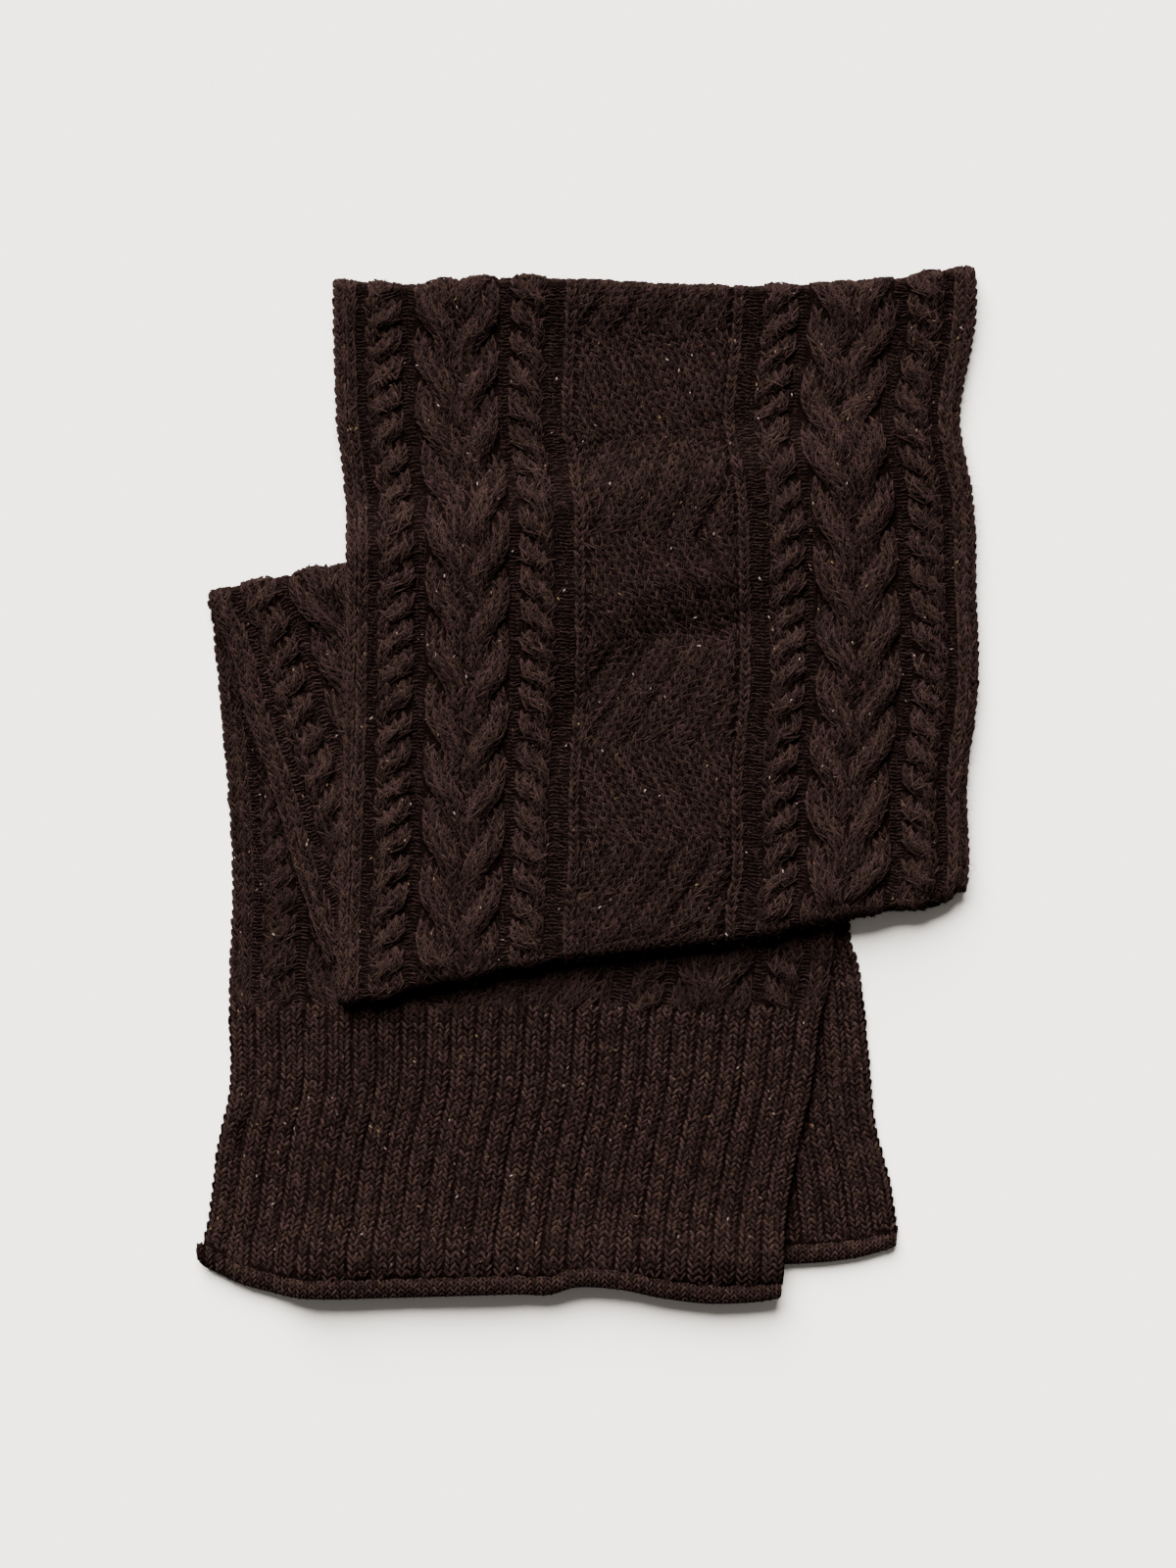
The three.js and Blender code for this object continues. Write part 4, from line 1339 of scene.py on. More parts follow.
def build_core(name: str) -> bpy.types.Object:
    """Make the hidden parts of the lower stretches, with each stretch's rounded edge showing at the sides.

    Args:
        name: The object's name.

    Returns:
        The object.
    """
    share = np.linspace(0, 1, CORE_GRID + 1)
    guess = mix(*CORE_SPAN, share)
    far = Lie.top_fold(guess) - FOLD_ROOM
    near = Lie.low_fold(guess) + FOLD_ROOM + 3
    y = mix(far[None, :], near[None, :], share[:, None])
    ramp = np.clip((y - 127) / 6, 0, 1)
    left = mix(Lie.seam(y) + 2 * GAP, TOP.left(y) + CORE_INSET, ramp)
    x = mix(left, TOP.right(y) - CORE_INSET, share[None, :])
    height = core_height(x, y)
    rows, columns = x.shape
    number = np.arange(rows * columns).reshape(rows, columns)
    rim = np.concatenate([number[0, :-1], number[:-1, -1], number[-1, :0:-1], number[:0:-1, 0]])
    flat_x, flat_y, flat_z = x.ravel(), y.ravel(), height.ravel()
    rim_x, rim_y, rim_z = flat_x[rim], flat_y[rim], flat_z[rim]
    inward = unit(np.stack([CORE_MIDDLE[0] - rim_x, CORE_MIDDLE[1] - rim_y], -1))
    layers = np.maximum(1.0, np.round(rim_z / STEP_UP))
    loops = []
    for level in np.linspace(1, 0, CORE_LOOPS):
        round_off = np.abs(np.sin(math.pi * np.clip(level * layers, 0, None))) ** 0.5
        inset = 0.1 + 2.1 * (1 - round_off)
        shift = inward * inset[:, None]
        loops.append(np.stack([rim_x + shift[:, 0], rim_y + shift[:, 1], rim_z * level], -1))
    top = np.stack([flat_x, flat_y, flat_z], -1)
    base = np.stack([flat_x, flat_y, 0 * flat_z], -1)
    top[rim], base[rim] = loops[0], loops[-1]
    sides = loops[1:-1]
    places = np.concatenate([top, base, *sides])
    upper, lower = (faces.reshape(-1, 4) for faces in grid_faces(number))
    first = 2 * len(top)
    rings = [rim, *(first + k * len(rim) + np.arange(len(rim)) for k in range(len(sides))), rim + len(top)]
    walls = [
        np.stack([high, np.roll(high, -1), np.roll(low, -1), low], -1) for high, low in zip(rings, rings[1:])
    ]
    return make_mesh(name, places, [np.concatenate([upper, lower + len(top), *walls])])


@dataclass(frozen=True)
class WoolColours:
    """The heathered yarn's colours, as linear values."""

    dark: tuple[float, float, float] = (0.0026, 0.00105, 0.0009)
    mid: tuple[float, float, float] = (0.0107, 0.0042, 0.0036)
    light: tuple[float, float, float] = (0.0345, 0.0208, 0.0172)
    olive: tuple[float, float, float] = (0.0108, 0.0059, 0.0027)
    mauve: tuple[float, float, float] = (0.0122, 0.0040, 0.0060)


def node(tree: bpy.types.NodeTree, kind: str, **values: object) -> bpy.types.Node:
    """Add a node and set its properties.

    Args:
        tree: The node tree.
        kind: The node's type.
        **values: Properties.

    Returns:
        The node.
    """
    made = tree.nodes.new(kind)
    for name, value in values.items():
        setattr(made, name, value)
    return made


def put(tree: bpy.types.NodeTree, socket: bpy.types.NodeSocket, value: object) -> None:
    """Link a socket to an input, or set the input to a plain value."""
    if isinstance(value, bpy.types.NodeSocket):
        tree.links.new(value, socket)
    else:
        socket.default_value = value


def maths(tree: bpy.types.NodeTree, operation: str, *values: object) -> bpy.types.NodeSocket:
    """Add a maths node on numbers or sockets."""
    made = node(tree, "ShaderNodeMath", operation=operation)
    for socket, value in zip(made.inputs, values):
        put(tree, socket, value)
    return made.outputs[0]


def map_range(tree: bpy.types.NodeTree, value: bpy.types.NodeSocket, source: Sequence[object] = (0.0, 1.0),
              target: Sequence[object] = (0.0, 1.0)) -> bpy.types.NodeSocket:
    """Add a clamped map range from one pair of numbers or sockets to another."""
    made = node(tree, "ShaderNodeMapRange", clamp=True)
    names = ("Value", "From Min", "From Max", "To Min", "To Max")
    for name, amount in zip(names, (value, *source, *target)):
        put(tree, made.inputs[name], amount)
    return made.outputs["Result"]


def new_group(name: str, sockets: Sequence[tuple[str, str, str]]) -> bpy.types.NodeTree:
    """Make a shader node group.

    Args:
        name: Its name.
        sockets: The name, direction and type of each socket.

    Returns:
        The group's tree.
    """
    tree = bpy.data.node_groups.new(name, "ShaderNodeTree")
    for label, way, kind in sockets:
        tree.interface.new_socket(label, in_out=way, socket_type=f"NodeSocket{kind}")
    return tree


def new_material(name: str, values: dict[str, object]) -> tuple[bpy.types.Material, bpy.types.Node]:
    """Make a material.

    Args:
        name: Its name.
        values: Values of its shader's inputs, by their names.

    Returns:
        The material and its shader.
    """
    material = bpy.data.materials.new(name)
    material.use_nodes = True
    shader = material.node_tree.nodes["Principled BSDF"]
    for label, value in values.items():
        shader.inputs[label].default_value = value
    return material, shader


class HeatherGroup:
    """A shader node group: tweed wool's colour, roughness and fine height from a place."""

    def __init__(self, colours: WoolColours) -> None:
        """Build the group.

        Args:
            colours: The yarn's colours.
        """
        self.colours = colours
        self.tree = new_group("HeatheredWool", (
            ("Vector", "INPUT", "Vector"), ("Strand", "INPUT", "Vector"), ("Shade", "INPUT", "Float"),
            ("Color", "OUTPUT", "Color"), ("Roughness", "OUTPUT", "Float"), ("Height", "OUTPUT", "Float"),
        ))
        self.enter = node(self.tree, "NodeGroupInput")
        self.leave = node(self.tree, "NodeGroupOutput")
        self.build()

    def noise(
        self, scale: float, detail: float, rough: float, vector: bpy.types.NodeSocket,
    ) -> bpy.types.NodeSocket:
        """Add a noise texture and return its factor."""
        made = node(self.tree, "ShaderNodeTexNoise")
        for name, value in (("Scale", scale), ("Detail", detail), ("Roughness", rough), ("Vector", vector)):
            put(self.tree, made.inputs[name], value)
        return made.outputs["Fac"]

    def shift(self, vector: bpy.types.NodeSocket) -> bpy.types.NodeSocket:
        """Move a place, for a second noise that doesn't follow the first."""
        made = node(self.tree, "ShaderNodeVectorMath", operation="ADD")
        made.inputs[1].default_value = (0.37, 0.21, 0.53)
        self.tree.links.new(vector, made.inputs[0])
        return made.outputs[0]

    def spread(self, value: bpy.types.NodeSocket, low: float, high: float) -> bpy.types.NodeSocket:
        """Add a map range from low and high to 0 and 1."""
        return map_range(self.tree, value, (low, high))

    def blend(self, factor: bpy.types.NodeSocket, first: object, second: object) -> bpy.types.NodeSocket:
        """Add a colour mix of two colours or sockets."""
        made = node(self.tree, "ShaderNodeMix", data_type="RGBA")
        self.tree.links.new(factor, made.inputs["Factor"])
        for socket, value in ((made.inputs[6], first), (made.inputs[7], second)):
            put(self.tree, socket, (*value, 1.0) if isinstance(value, tuple) else value)
        return made.outputs[2]

    def times(self, first: object, second: object, operation: str = "MULTIPLY") -> bpy.types.NodeSocket:
        """Add a maths node on two numbers or sockets."""
        return maths(self.tree, operation, first, second)

    def build(self) -> None:
        """Wire the group."""
        links, look = self.tree.links, self.colours
        place = self.enter.outputs["Vector"]
        hue = self.spread(self.noise(190.0, 2.0, 0.6, place), 0.38, 0.62)
        body = self.blend(hue, look.mauve, look.olive)
        half = self.spread(self.noise(21.0, 2.0, 0.5, place), 0.3, 0.7)
        body = self.blend(self.times(half, 0.6), body, look.mid)
        body = self.blend(self.spread(self.noise(330.0, 3.0, 0.75, place), 0.60, 0.36), body, look.dark)
        heather = self.spread(self.noise(760.0, 3.0, 0.8, place), 0.42, 0.66)
        body = self.blend(self.times(heather, 0.55), body, look.light)
        glint = self.spread(self.noise(1900.0, 1.0, 0.5, place), 0.58, 0.70)
        body = self.blend(self.times(glint, 0.85), body, look.light)
        nick = self.spread(self.noise(1500.0, 1.0, 0.5, self.shift(place)), 0.60, 0.70)
        body = self.blend(self.times(nick, 0.75), body, look.dark)
        strand = self.spread(self.noise(1.0, 2.0, 0.6, self.enter.outputs["Strand"]), 0.50, 0.68)
        body = self.blend(self.times(strand, 0.55), body, look.light)
        scale = node(self.tree, "ShaderNodeVectorMath", operation="SCALE")
        links.new(body, scale.inputs[0])
        links.new(self.enter.outputs["Shade"], scale.inputs["Scale"])
        links.new(scale.outputs[0], self.leave.inputs["Color"])
        rough = map_range(self.tree, heather, target=(0.85, 0.98))
        links.new(rough, self.leave.inputs["Roughness"])
        links.new(self.times(strand, heather, "ADD"), self.leave.inputs["Height"])


class SideShadeAndToneGroup:
    """A shader node group: paints shade on a strand of yarn toward its sides, where its round turns away from the
    light, and sets each strand's own random tone.
    """

    def __init__(self) -> None:
        """Build the group."""
        self.tree = new_group("StrandSideShadeAndTone", (
            ("UV", "INPUT", "Vector"), ("Depth", "INPUT", "Float"), ("Shade", "OUTPUT", "Float"),
        ))
        tree, links = self.tree, self.tree.links
        enter = node(tree, "NodeGroupInput")
        leave = node(tree, "NodeGroupOutput")
        split = node(tree, "ShaderNodeSeparateXYZ")
        links.new(enter.outputs["UV"], split.inputs[0])
        # Painted shade: the strand darkens from its middle toward its sides, as its round turns from the light.
        round_it = maths(tree, "FRACT", split.outputs["X"])
        high = maths(tree, "MULTIPLY", round_it, maths(tree, "SUBTRACT", 1.0, round_it))
        sides = map_range(tree, high, (0.0125, 0.175), (enter.outputs["Depth"], 1.0))
        whole = node(tree, "ShaderNodeVectorMath", operation="FLOOR")
        links.new(enter.outputs["UV"], whole.inputs[0])
        chance = node(tree, "ShaderNodeTexWhiteNoise", noise_dimensions="2D")
        links.new(whole.outputs[0], chance.inputs["Vector"])
        own_tone = map_range(tree, chance.outputs["Value"], target=(0.5, 1.55))
        links.new(maths(tree, "MULTIPLY", sides, own_tone), leave.inputs["Shade"])


@dataclass(frozen=True)
class WoolFinish:
    """A wool material round the shared groups."""

    name: str
    shade: float
    gloss: float
    bump: float
    side_shade: float = 1.0  # how light a strand's sides stay under their painted shade; 1 for no strands

    def build(self, heather: HeatherGroup, side_shade: SideShadeAndToneGroup) -> bpy.types.Material:
        """Make the material.

        Args:
            heather: The shared colours.
            side_shade: The shared painted shade on a strand's sides, with each strand's random tone.

        Returns:
            The material.
        """
        material, shader = new_material(self.name, {"Specular IOR Level": self.gloss})
        tree = material.node_tree
        wool = node(tree, "ShaderNodeGroup", node_tree=heather.tree)
        wool.inputs["Shade"].default_value = self.shade
        where = node(tree, "ShaderNodeTexCoord")
        tree.links.new(where.outputs["Object"], wool.inputs["Vector"])
        stretch = node(tree, "ShaderNodeMapping")
        tree.links.new(stretch.outputs["Vector"], wool.inputs["Strand"])
        # Strands get painted shade on their sides, from the texture coordinate across each spindle.
        if self.side_shade < 1.0:
            stretch.inputs["Scale"].default_value = (2.2, 1.4, 1.0)
            tree.links.new(where.outputs["UV"], stretch.inputs["Vector"])
            dark = node(tree, "ShaderNodeGroup", node_tree=side_shade.tree)
            dark.inputs["Depth"].default_value = self.side_shade
            tree.links.new(where.outputs["UV"], dark.inputs["UV"])
            scale = maths(tree, "MULTIPLY", dark.outputs["Shade"], self.shade)
            tree.links.new(scale, wool.inputs["Shade"])
        else:
            stretch.inputs["Scale"].default_value = (1200.0, 300.0, 1200.0)
            tree.links.new(where.outputs["Object"], stretch.inputs["Vector"])
        tree.links.new(wool.outputs["Color"], shader.inputs["Base Color"])
        tree.links.new(wool.outputs["Roughness"], shader.inputs["Roughness"])
        bump = node(tree, "ShaderNodeBump")
        bump.inputs["Strength"].default_value = self.bump
        bump.inputs["Distance"].default_value = 0.0004
        tree.links.new(wool.outputs["Height"], bump.inputs["Height"])
        tree.links.new(bump.outputs["Normal"], shader.inputs["Normal"])
        return material


@dataclass(frozen=True)
class FleckFinish:
    """A plain material of the odd coloured fibres in the yarn."""

    name: str
    colour: tuple[float, float, float]

    def build(self) -> bpy.types.Material:
        """Make the material."""
        return new_material(self.name, {
            "Base Color": (*self.colour, 1.0), "Roughness": 0.9, "Specular IOR Level": 0.02,
        })[0]


FLECKS = (
    (FleckFinish("fleck_cream", (0.125, 0.096, 0.078)), 130),
    (FleckFinish("fleck_tan", (0.058, 0.038, 0.026)), 190),
    (FleckFinish("fleck_ochre", (0.064, 0.044, 0.0205)), 46),
    (FleckFinish("fleck_rust", (0.040, 0.0180, 0.0120)), 18),
)


@dataclass
class Scarf:
    """The scarf: its stretches, hems, stitches and loose hairs."""

    seed: int = 11
    cell: float = 2.2  # the shells' grid
    fold_cell: float = 1.25  # the same along the scarf, round a fold
    fold_reach: float = 25.0
    top_length: float = 360.0
    hairs: int = 20000

    def __post_init__(self) -> None:
        """Make the surfaces and the materials."""
        self.rng = np.random.default_rng(self.seed)
        self.top, self.slant = TopStretch(), SlantStretch()
        self.front, self.back = FrontStretch(), BackStretch()
        self.front_hem = HemRoll("front_hem", FRONT_HEM, FRONT, Lie.front, 3.6)
        self.back_hem = HemRoll("back_hem", BACK_HEM, BACK, Lie.back, 0.0)
        groups = (HeatherGroup(WoolColours()), SideShadeAndToneGroup())
        # The ground's yarn is painted near black against the stitches': painted shade for the gaps between stitches,
        # also on the hem rolls and the hidden stretches' edges.
        self.ground = WoolFinish("wool_ground_painted_shade", 0.16, 0.0, 0.5).build(*groups)
        # Each stitch yarn paints shade on its strands' sides, the zigzag field's most deeply.
        self.yarn = WoolFinish("wool_yarn", 0.78, 0.02, 0.8, side_shade=0.32).build(*groups)
        self.flat_yarn = WoolFinish("wool_yarn_flat", 0.74, 0.02, 0.8, side_shade=0.10).build(*groups)
        # Painted shade: the front stretch's cables, lying low beside the slanting stretch and under the near fold, get
        # a darker yarn.
        self.strip_shade_yarn = WoolFinish("wool_yarn_strip_shade", 0.63, 0.02, 0.8, side_shade=0.25).build(*groups)
        # Painted shade: the purl columns, recessed between the ropes, get a darker yarn.
        self.purl_shade_yarn = WoolFinish("wool_yarn_purl_shade", 0.56, 0.02, 0.8, side_shade=0.15).build(*groups)
        # Painted light: the loose hairs are painted far lighter than the yarn, for the light their fine fibres catch.
        self.hair = WoolFinish("wool_hair_painted_light", 2.0, 0.0, 0.0).build(*groups)

    def finish(self, thing: bpy.types.Object, material: bpy.types.Material) -> bpy.types.Object:
        """Give a piece its material and attach it to the root body."""
        thing.data.materials.append(material)
        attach(thing, "root")
        return thing

    def build(self) -> None:
        """Build and dress every stretch."""
        top = self.build_top()
        slant = self.build_slant()
        front = self.build_front()
        back = self.build_back()
        core = self.finish(build_core("hidden_stretches"), self.ground)
        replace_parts(core, "hidden_layers")
        hems = self.build_hems()
        stitched = self.build_stitches()
        hairs = self.build_hairs()
        flecks = self.build_flecks()
        LOG.info("loose: %s", [thing.name for thing in (hairs, *flecks)])

    def build_top(self) -> bpy.types.Object:
        """Build the top stretch's cloth."""
        shares = np.linspace(0, 1, round(CLOTH_WIDTH / self.cell) + 1)
        far, near = self.top.far(shares), self.top.near(shares)
        steps = np.arange(self.fold_reach, 0, -self.fold_cell)
        body = mix(far[None], near[None], np.linspace(0, 1, round(self.top_length / self.cell))[:, None])
        ys = np.concatenate([far[None] + steps[:, None], body, near[None] - steps[::-1][:, None]])
        cloth = grid_shell("top_stretch", self.top, np.broadcast_to(shares, ys.shape), ys)
        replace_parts(self.finish(cloth, self.ground), "top_panel")
        return cloth

    def build_slant(self) -> bpy.types.Object:
        """Build the slanting stretch's cloth."""
        fold = self.slant.start + np.arange(21.0, 0, -self.fold_cell)
        ys = np.concatenate([fold, np.arange(self.slant.start, -98.1, -self.cell)])
        part = np.linspace(0, 1, 40)
        shares = self.slant.widest(ys)[:, None] * part[None]
        cloth = grid_shell("slanting_stretch", self.slant, shares, np.broadcast_to(ys[:, None], shares.shape))
        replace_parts(self.finish(cloth, self.ground), "slant_stretch")
        return cloth

    def front_start(self, shares: Array) -> Array:
        """Give the y at which the front's cable strip comes out from under its fold."""
        from_fold = RETURN + (STEP_UP + INNER_PUFF) / 2 + HALF
        return Lie.inner_fold(mix(*INNER_SPAN, shares)) - from_fold

    def build_front(self) -> bpy.types.Object:
        """Build the front stretch's cloth, an L."""
        columns = round(CLOTH_WIDTH / self.cell)
        columns += -columns % 4
        shares = np.linspace(0, 1, columns + 1)
        notch = round(columns * STRIP_SHARE)
        place = mix(*FRONT_SPAN, shares)
        start = Lie.end_top(place)
        hem = self.front_hem.groove(shares)
        strip_rows = 92
        end_rows = 78
        down = np.linspace(0, 1, strip_rows, endpoint=False)[:, None]
        strip = mix(self.front_start(shares)[None], start[None, :1], down)
        end = mix(start[None], hem[None], np.linspace(0, 1, end_rows)[:, None])
        ys = np.concatenate([strip, end])
        keep = np.ones((len(ys) - 1, columns), bool)
        keep[:strip_rows, notch:] = False
        cloth = grid_shell("front_stretch", self.front, np.broadcast_to(shares, ys.shape), ys, keep)
        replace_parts(self.finish(cloth, self.ground), "front_end")
        return cloth

    def build_back(self) -> bpy.types.Object:
        """Build the back stretch's ribbed end."""
        shares = np.concatenate([np.linspace(0, 0.7, 20, endpoint=False), np.linspace(0.7, 1, 48)])
        start = Lie.end_top(mix(*BACK_SPAN, shares))
        hem = self.back_hem.groove(shares)
        ys = mix(start[None], hem[None], np.linspace(0, 1, 84)[:, None])
        cloth = grid_shell("back_stretch", self.back, np.broadcast_to(shares, ys.shape), ys)
        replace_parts(self.finish(cloth, self.ground), "back_end")
        return cloth

    def build_hems(self) -> list[bpy.types.Object]:
        """Build the rolled hems."""
        made = []
        rings, sides = 170, 16
        for roll, replaced in ((self.front_hem, "front_hem_roll"), (self.back_hem, "back_hem_roll")):
            eased = (1 - np.cos(np.linspace(0, math.pi, rings))) / 2
            shares = mix(np.linspace(0, 1, rings), eased, 0.8)
            angles = np.linspace(0, 2 * math.pi, sides, endpoint=False)
            places = roll.ring(shares[:, None], angles[None])
            number = np.arange(rings * sides).reshape(rings, sides)
            quads = np.stack([
                number[:-1], np.roll(number[:-1], -1, 1), np.roll(number[1:], -1, 1), number[1:],
            ], -1).reshape(-1, 4)
            caps = [number[:1, ::-1], number[-1:]]
            thing = make_mesh(roll.name, places.reshape(-1, 3), [quads, *caps])
            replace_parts(self.finish(thing, self.ground), replaced)
            made.append(thing)
        return made

    def build_stitches(self) -> dict[str, list[bpy.types.Object]]:
        """Lay the stitches of every stretch."""
        rng = self.rng
        top_rows = np.arange(302.0, -144.0, -ROW)

        def on_top(share: Array, y: Array) -> Array:
            """Say where the top stretch has stitches."""
            return (y < self.top.far(share) + 12) & (y > self.top.near(share) - 12)

        def on_slant(share: Array, y: Array) -> Array:
            """Say where the slanting stretch has stitches."""
            place = self.slant.middle(share, y)
            free = place[..., 0] < TOP.left(place[..., 1]) + 7
            return free & (share < self.slant.widest(y)) & (y < self.slant.start + 9)

        def on_strip(share: Array, y: Array) -> Array:
            """Say where the front stretch's cables show."""
            x = FRONT.x(share, y)
            start = self.front_start(share)
            free = (x < SLANT_LEFT(y) + 7) | (y < Lie.low_fold(x) + 8)
            cloth = (share < STRIP_SHARE) | (y < Lie.end_top(x) - 3)
            return free & cloth & (y < start + 1) & (y > FRONT_RIB_TOP - 3)

        def on_front_ribs(share: Array, y: Array) -> Array:
            """Say where the front end has ribs."""
            return (y < FRONT_RIB_TOP - 1) & (y > FRONT_HEM(share) + ROLL_WIDTH / 2 + 3)

        def on_back_ribs(share: Array, y: Array) -> Array:
            """Say where the back end's ribs show."""
            x = BACK.x(share, y)
            free = (x > FRONT.right(y) - 9) & (y < Lie.low_fold(x) + 10)
            return free & (y > BACK_HEM(share) + ROLL_WIDTH / 2 + 3)

        def in_field(wale: Wale) -> bool:
            """Say whether a line is in the zigzag field or in a narrow column beside it."""
            if wale.kind is Kind.COLUMN:
                return CLOTH_WIDTH / 4 < wale.across(0.0) < CLOTH_WIDTH * 3 / 4
            return wale.kind is Kind.ZIGZAG

        sets = {
            "top_cable_stitches": ("top", lay_cables(
                self.top, top_rows, lambda y: TOP_PATTERN - y, on_top,
                lambda w: not in_field(w) and not w.purl, rng)),
            "top_purl_stitches": ("top", lay_cables(
                self.top, top_rows, lambda y: TOP_PATTERN - y, on_top, lambda w: w.purl, rng)),
            "top_zigzag_stitches": ("top", lay_cables(
                self.top, top_rows, lambda y: TOP_PATTERN - y, on_top, in_field, rng, FIELD_LEGS)),
            "slant_stitches": ("slant", lay_cables(
                self.slant, np.arange(124.0, -96.0, -ROW), lambda y: self.slant.start - y, on_slant,
                lambda w: True, rng)),
            "front_cable_stitches": ("front", lay_cables(
                self.front, np.arange(100.0, -122.0, -ROW), lambda y: -y, on_strip, lambda w: True, rng)),
            "front_rib_stitches": ("front", lay_ribs(
                self.front, np.arange(FRONT_RIB_TOP, -290.0, -RIB_LEGS.row), on_front_ribs, rng)),
            "back_rib_stitches": ("back", lay_ribs(
                self.back, np.arange(-60.0, -270.0, -RIB_LEGS.row), on_back_ribs, rng)),
        }
        made: dict[str, list[bpy.types.Object]] = {"top": [], "slant": [], "front": [], "back": []}
        # Darker yarns with painted shade for the purl columns and the front stretch's low cables; the zigzag field's
        # yarn has the deepest painted side shade.
        own = {
            "top_purl_stitches": self.purl_shade_yarn, "top_zigzag_stitches": self.flat_yarn,
            "front_cable_stitches": self.strip_shade_yarn,
        }
        for name, (owner, grains) in sets.items():
            made[owner].append(self.finish(grains.build(name, rng), own.get(name, self.yarn)))
        top_y = np.arange(276.0, -112.0, -KNOT)
        front_y = np.arange(float(self.front_start(0.0)) - 0.5, -252.0, -KNOT)
        edges = {
            "top_selvedges": ("top", [
                selvedge(self.top, top_y[top_y > self.top.near(0.0) - 3], False, rng),
                selvedge(self.top, top_y[top_y > self.top.near(1.0) - 3], True, rng),
            ]),
            "slant_selvedge": ("slant", [selvedge(self.slant, np.arange(104.0, -96.0, -KNOT), False, rng)]),
            "front_selvedges": ("front", [
                selvedge(self.front, front_y, False, rng),
                selvedge(self.front, front_y[front_y < Lie.end_top(133.0) - 2], True, rng),
            ]),
            "back_selvedge": ("back", [selvedge(self.back, np.arange(-52.0, -248.0, -KNOT), True, rng)]),
        }
        for name, (owner, parts) in edges.items():
            made[owner].append(self.finish(Grains.join(parts).build(name, rng), self.yarn))
        for roll, owner, shares in (
            (self.front_hem, "front", np.linspace(0.006, 0.994, 72)),
            (self.back_hem, "back", np.linspace(0.006, 0.994, 72)),
        ):
            count = 5
            step = ROLL_WIDTH / 2 * math.pi / 4.4
            share = np.repeat(shares, count)
            around = np.tile(-np.arange(count) * step * 0.86 + step * 0.1, len(shares))
            grains = roll_stitches(roll, share, around, rng)
            made[owner].append(self.finish(grains.build(f"{roll.name}_stitches", rng), self.yarn))
        return made

    def build_flecks(self) -> list[bpy.types.Object]:
        """Strew the flecks, each a short thick fibre in the yarn."""
        rng = self.rng
        made = []
        for finish, count in FLECKS:
            parts = []
            for stretch, part, low, high in (
                (self.top, 0.68, (0, -104), (1, 279)),
                (self.front, 0.22, (0, -266), (1, -122)),
                (self.front, 0.04, (0, -122), (0.14, 80)),
                (self.slant, 0.04, (0, -60), (0.16, 98)),
                (self.back, 0.02, (0.86, -245), (1, -85)),
            ):
                number = max(1, round(count * part))
                share = rng.uniform(low[0], high[0], number)
                y = rng.uniform(low[1], high[1], number)
                up = stretch.normal(stretch.outer, share, y)
                heading = rng.normal(0, 1, (number, 3)) + np.array([0.0, 1.2, 0.0])
                axis = unit(heading - up * (heading * up).sum(-1, keepdims=True))
                size = rng.uniform(0.6, 1.25, number)
                parts.append(Grains(
                    stretch.outer(share, y) + up * 0.45, axis, unit(np.cross(up, axis)), up,
                    1.0 * size, 0.38 * size, 0.4 * size,
                ))
            made.append(self.finish(Grains.join(parts).build(finish.name, rng), finish.build()))
        return made

    def build_hairs(self) -> bpy.types.Object:
        """Strew the loose hairs."""
        rng = self.rng
        count = self.hairs
        top_share, top_y = rng.uniform(0, 1, count // 2), rng.uniform(-125, 284, count // 2)
        top_y = np.maximum(top_y, self.top.near(top_share) - 6)
        edge = count // 10
        edge_share = rng.choice([0.003, 0.997], edge)
        edge_y = rng.uniform(-110, 276, edge)
        places = [(self.top, top_share, top_y), (self.top, edge_share, edge_y)]
        for stretch, part, shares, ys in (
            (self.front, 4, (0, 1), (-268, -110)),
            (self.front, 20, (0, 0.08), (-268, 84)),
            (self.slant, 20, (0, 0.16), (-60, 108)),
            (self.back, 20, (0.84, 1), (-252, -82)),
        ):
            number = count // part
            places.append((stretch, rng.uniform(*shares, number), rng.uniform(*ys, number)))
        hair = lay_fuzz("loose_hairs", places, rng)
        return self.finish(hair, self.hair)


def roll_stitches(roll: HemRoll, share: Array, around: Array, rng: np.random.Generator) -> Grains:
    """Lay the knit legs over a rolled hem.

    Args:
        roll: The hem.
        share: Share across of each stitch.
        around: Millimetres round the roll from its groove, negative toward its outer side.
        rng: Seeded random numbers.

    Returns:
        The grains.
    """
    angle = -around / (ROLL_WIDTH / 2)
    at = roll.ring(share, angle)
    before, after = roll.ring(share, angle - 0.1), roll.ring(share, angle + 0.1)
    right = unit(roll.ring(share + 0.004, angle) - roll.ring(share - 0.004, angle))
    down = unit(after - before)
    up = unit(np.cross(down, right)) * -1.0
    up = np.where((up * (at - roll.ring(share, angle, -1.0))).sum(-1, keepdims=True) > 0, up, -up)
    width = 4.4
    parts = []
    for sign in (-1.0, 1.0):
        jitter = rng.normal(0, 0.07, len(share))
        axis = unit(down - sign * right * (0.55 + jitter)[:, None])
        size = rng.normal(1, 0.1, len(share)) * roll.cap(share)
        parts.append(Grains(
            at + sign * right * 0.25 * width - up * 0.1, axis, unit(np.cross(up, axis)), up,
            2.2 * size, 0.17 * width * size, 0.95 * size,
        ))
    return Grains.join(parts)


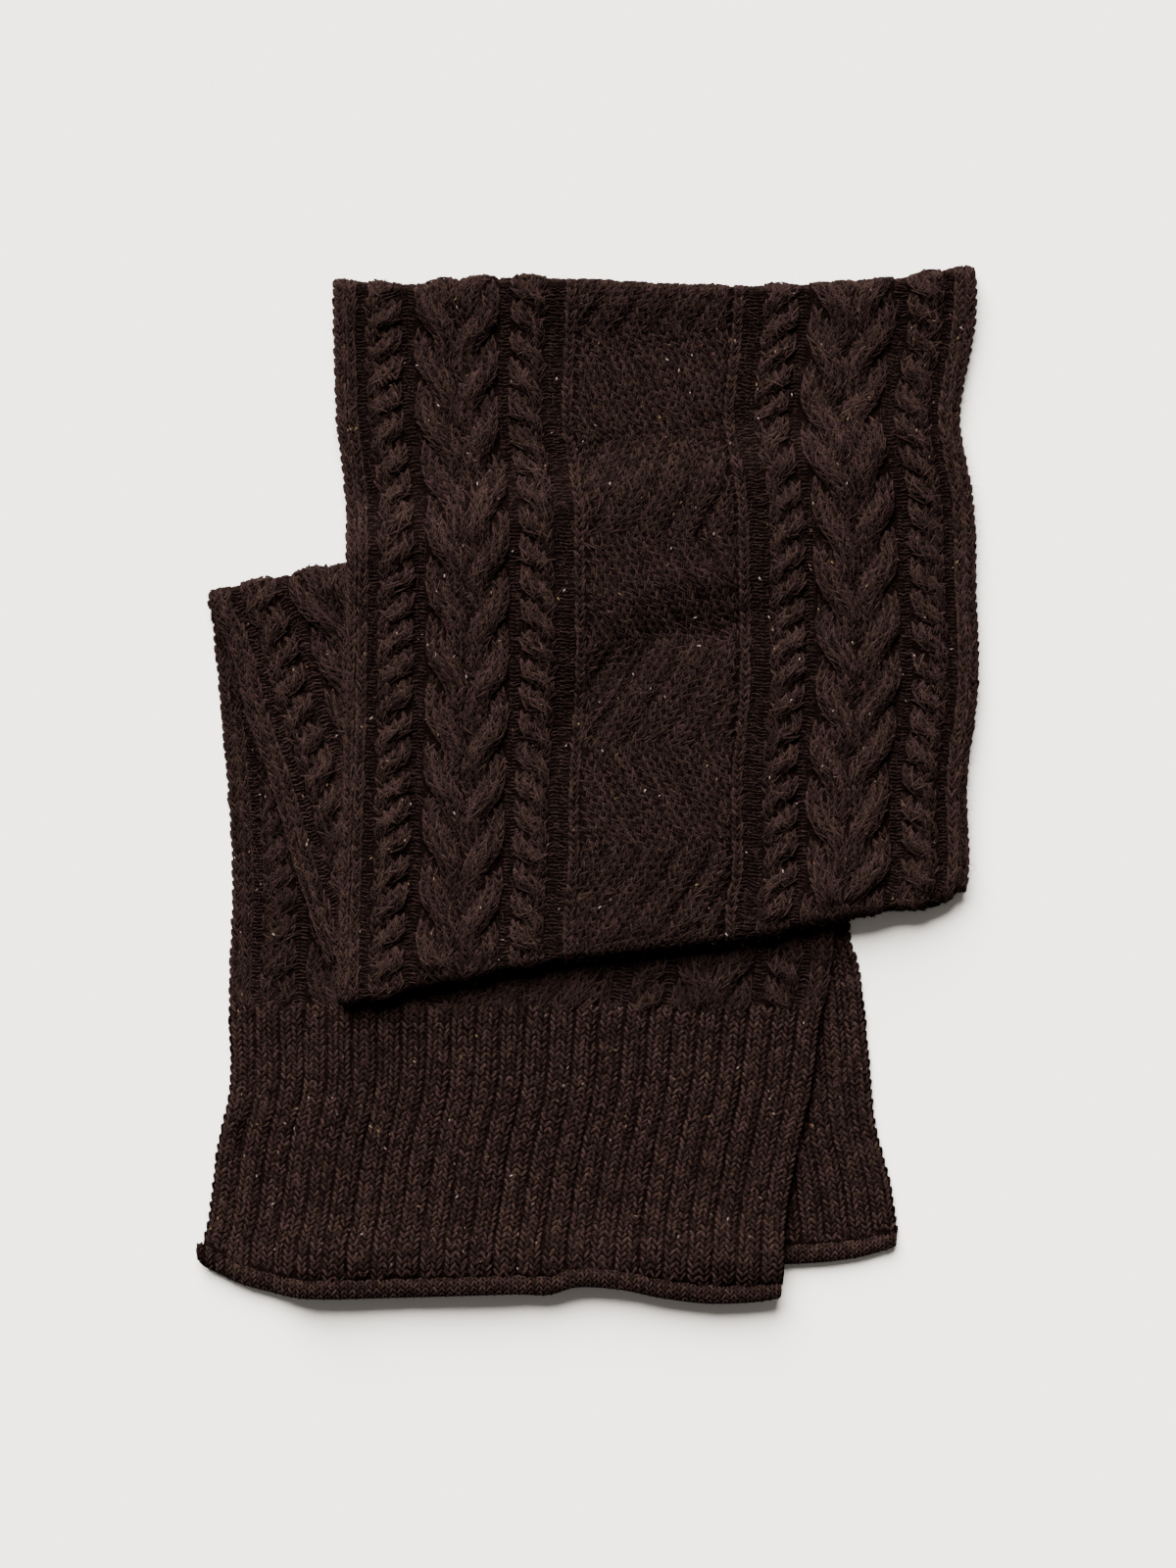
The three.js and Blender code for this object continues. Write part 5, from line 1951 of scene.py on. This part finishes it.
@dataclass(frozen=True)
class Studio:
    """The floor, the soft light and the camera at the photo's angle."""

    scale: float = 0.54  # millimetres of the table to a photo pixel
    picture: float = 1600.0  # pixels of the photo's height
    lens: float = 80.0
    sensor: float = 36.0
    plane: float = 9.0  # height at which the scale holds
    key: float = 22.66
    softness: float = 0.85
    surround: float = 0.17
    sun_from: tuple[float, float, float] = (-0.38, 1.3, 1.02)
    floor_colour: tuple[float, float, float, float] = (0.935, 0.868, 0.792, 1.0)
    air_colour: tuple[float, float, float, float] = (1.0, 0.985, 0.97, 1.0)

    def build(self) -> None:
        """Build all of it."""
        self.floor()
        self.lights()
        self.camera()

    def floor(self) -> None:
        """Make the pale floor."""
        bpy.ops.object.select_all(action="DESELECT")
        bpy.ops.mesh.primitive_plane_add(size=8.0, location=(0, 0, 0))
        floor = bpy.context.object
        floor.name = "floor"
        material, _ = new_material("pale_floor", {
            "Base Color": self.floor_colour, "Roughness": 0.95, "Specular IOR Level": 0.1,
        })
        floor.data.materials.append(material)

    def lights(self) -> None:
        """Make a large soft light from beyond the far fold and a pale surround."""
        data = bpy.data.lights.new("key", "SUN")
        data.energy = self.key
        data.angle = self.softness
        light = bpy.data.objects.new("key", data)
        bpy.context.scene.collection.objects.link(light)
        light.location = self.sun_from
        light.rotation_euler = (-light.location.normalized()).to_track_quat("-Z", "Y").to_euler()
        world = bpy.data.worlds.new("surround")
        world.use_nodes = True
        back = world.node_tree.nodes["Background"]
        back.inputs["Color"].default_value = self.air_colour
        back.inputs["Strength"].default_value = self.surround
        bpy.context.scene.world = world

    def camera(self) -> None:
        """Make the camera, looking straight down."""
        data = bpy.data.cameras.new("photo_camera")
        data.lens = self.lens
        data.sensor_width = self.sensor
        data.sensor_fit = "AUTO"
        camera = bpy.data.objects.new("photo_camera", data)
        bpy.context.scene.collection.objects.link(camera)
        away = self.picture * self.scale * MM / self.sensor * self.lens
        camera.location = (-CENTRE[0] * MM, -CENTRE[1] * MM, away + self.plane * MM)
        camera.rotation_euler = (0.0, 0.0, 0.0)
        bpy.context.scene.camera = camera


def main() -> None:
    """Build the scene."""
    logging.basicConfig(level=logging.INFO, format="%(name)s: %(message)s")
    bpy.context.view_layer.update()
    Scarf().build()
    Studio().build()


if __name__ == "__main__":
    main()
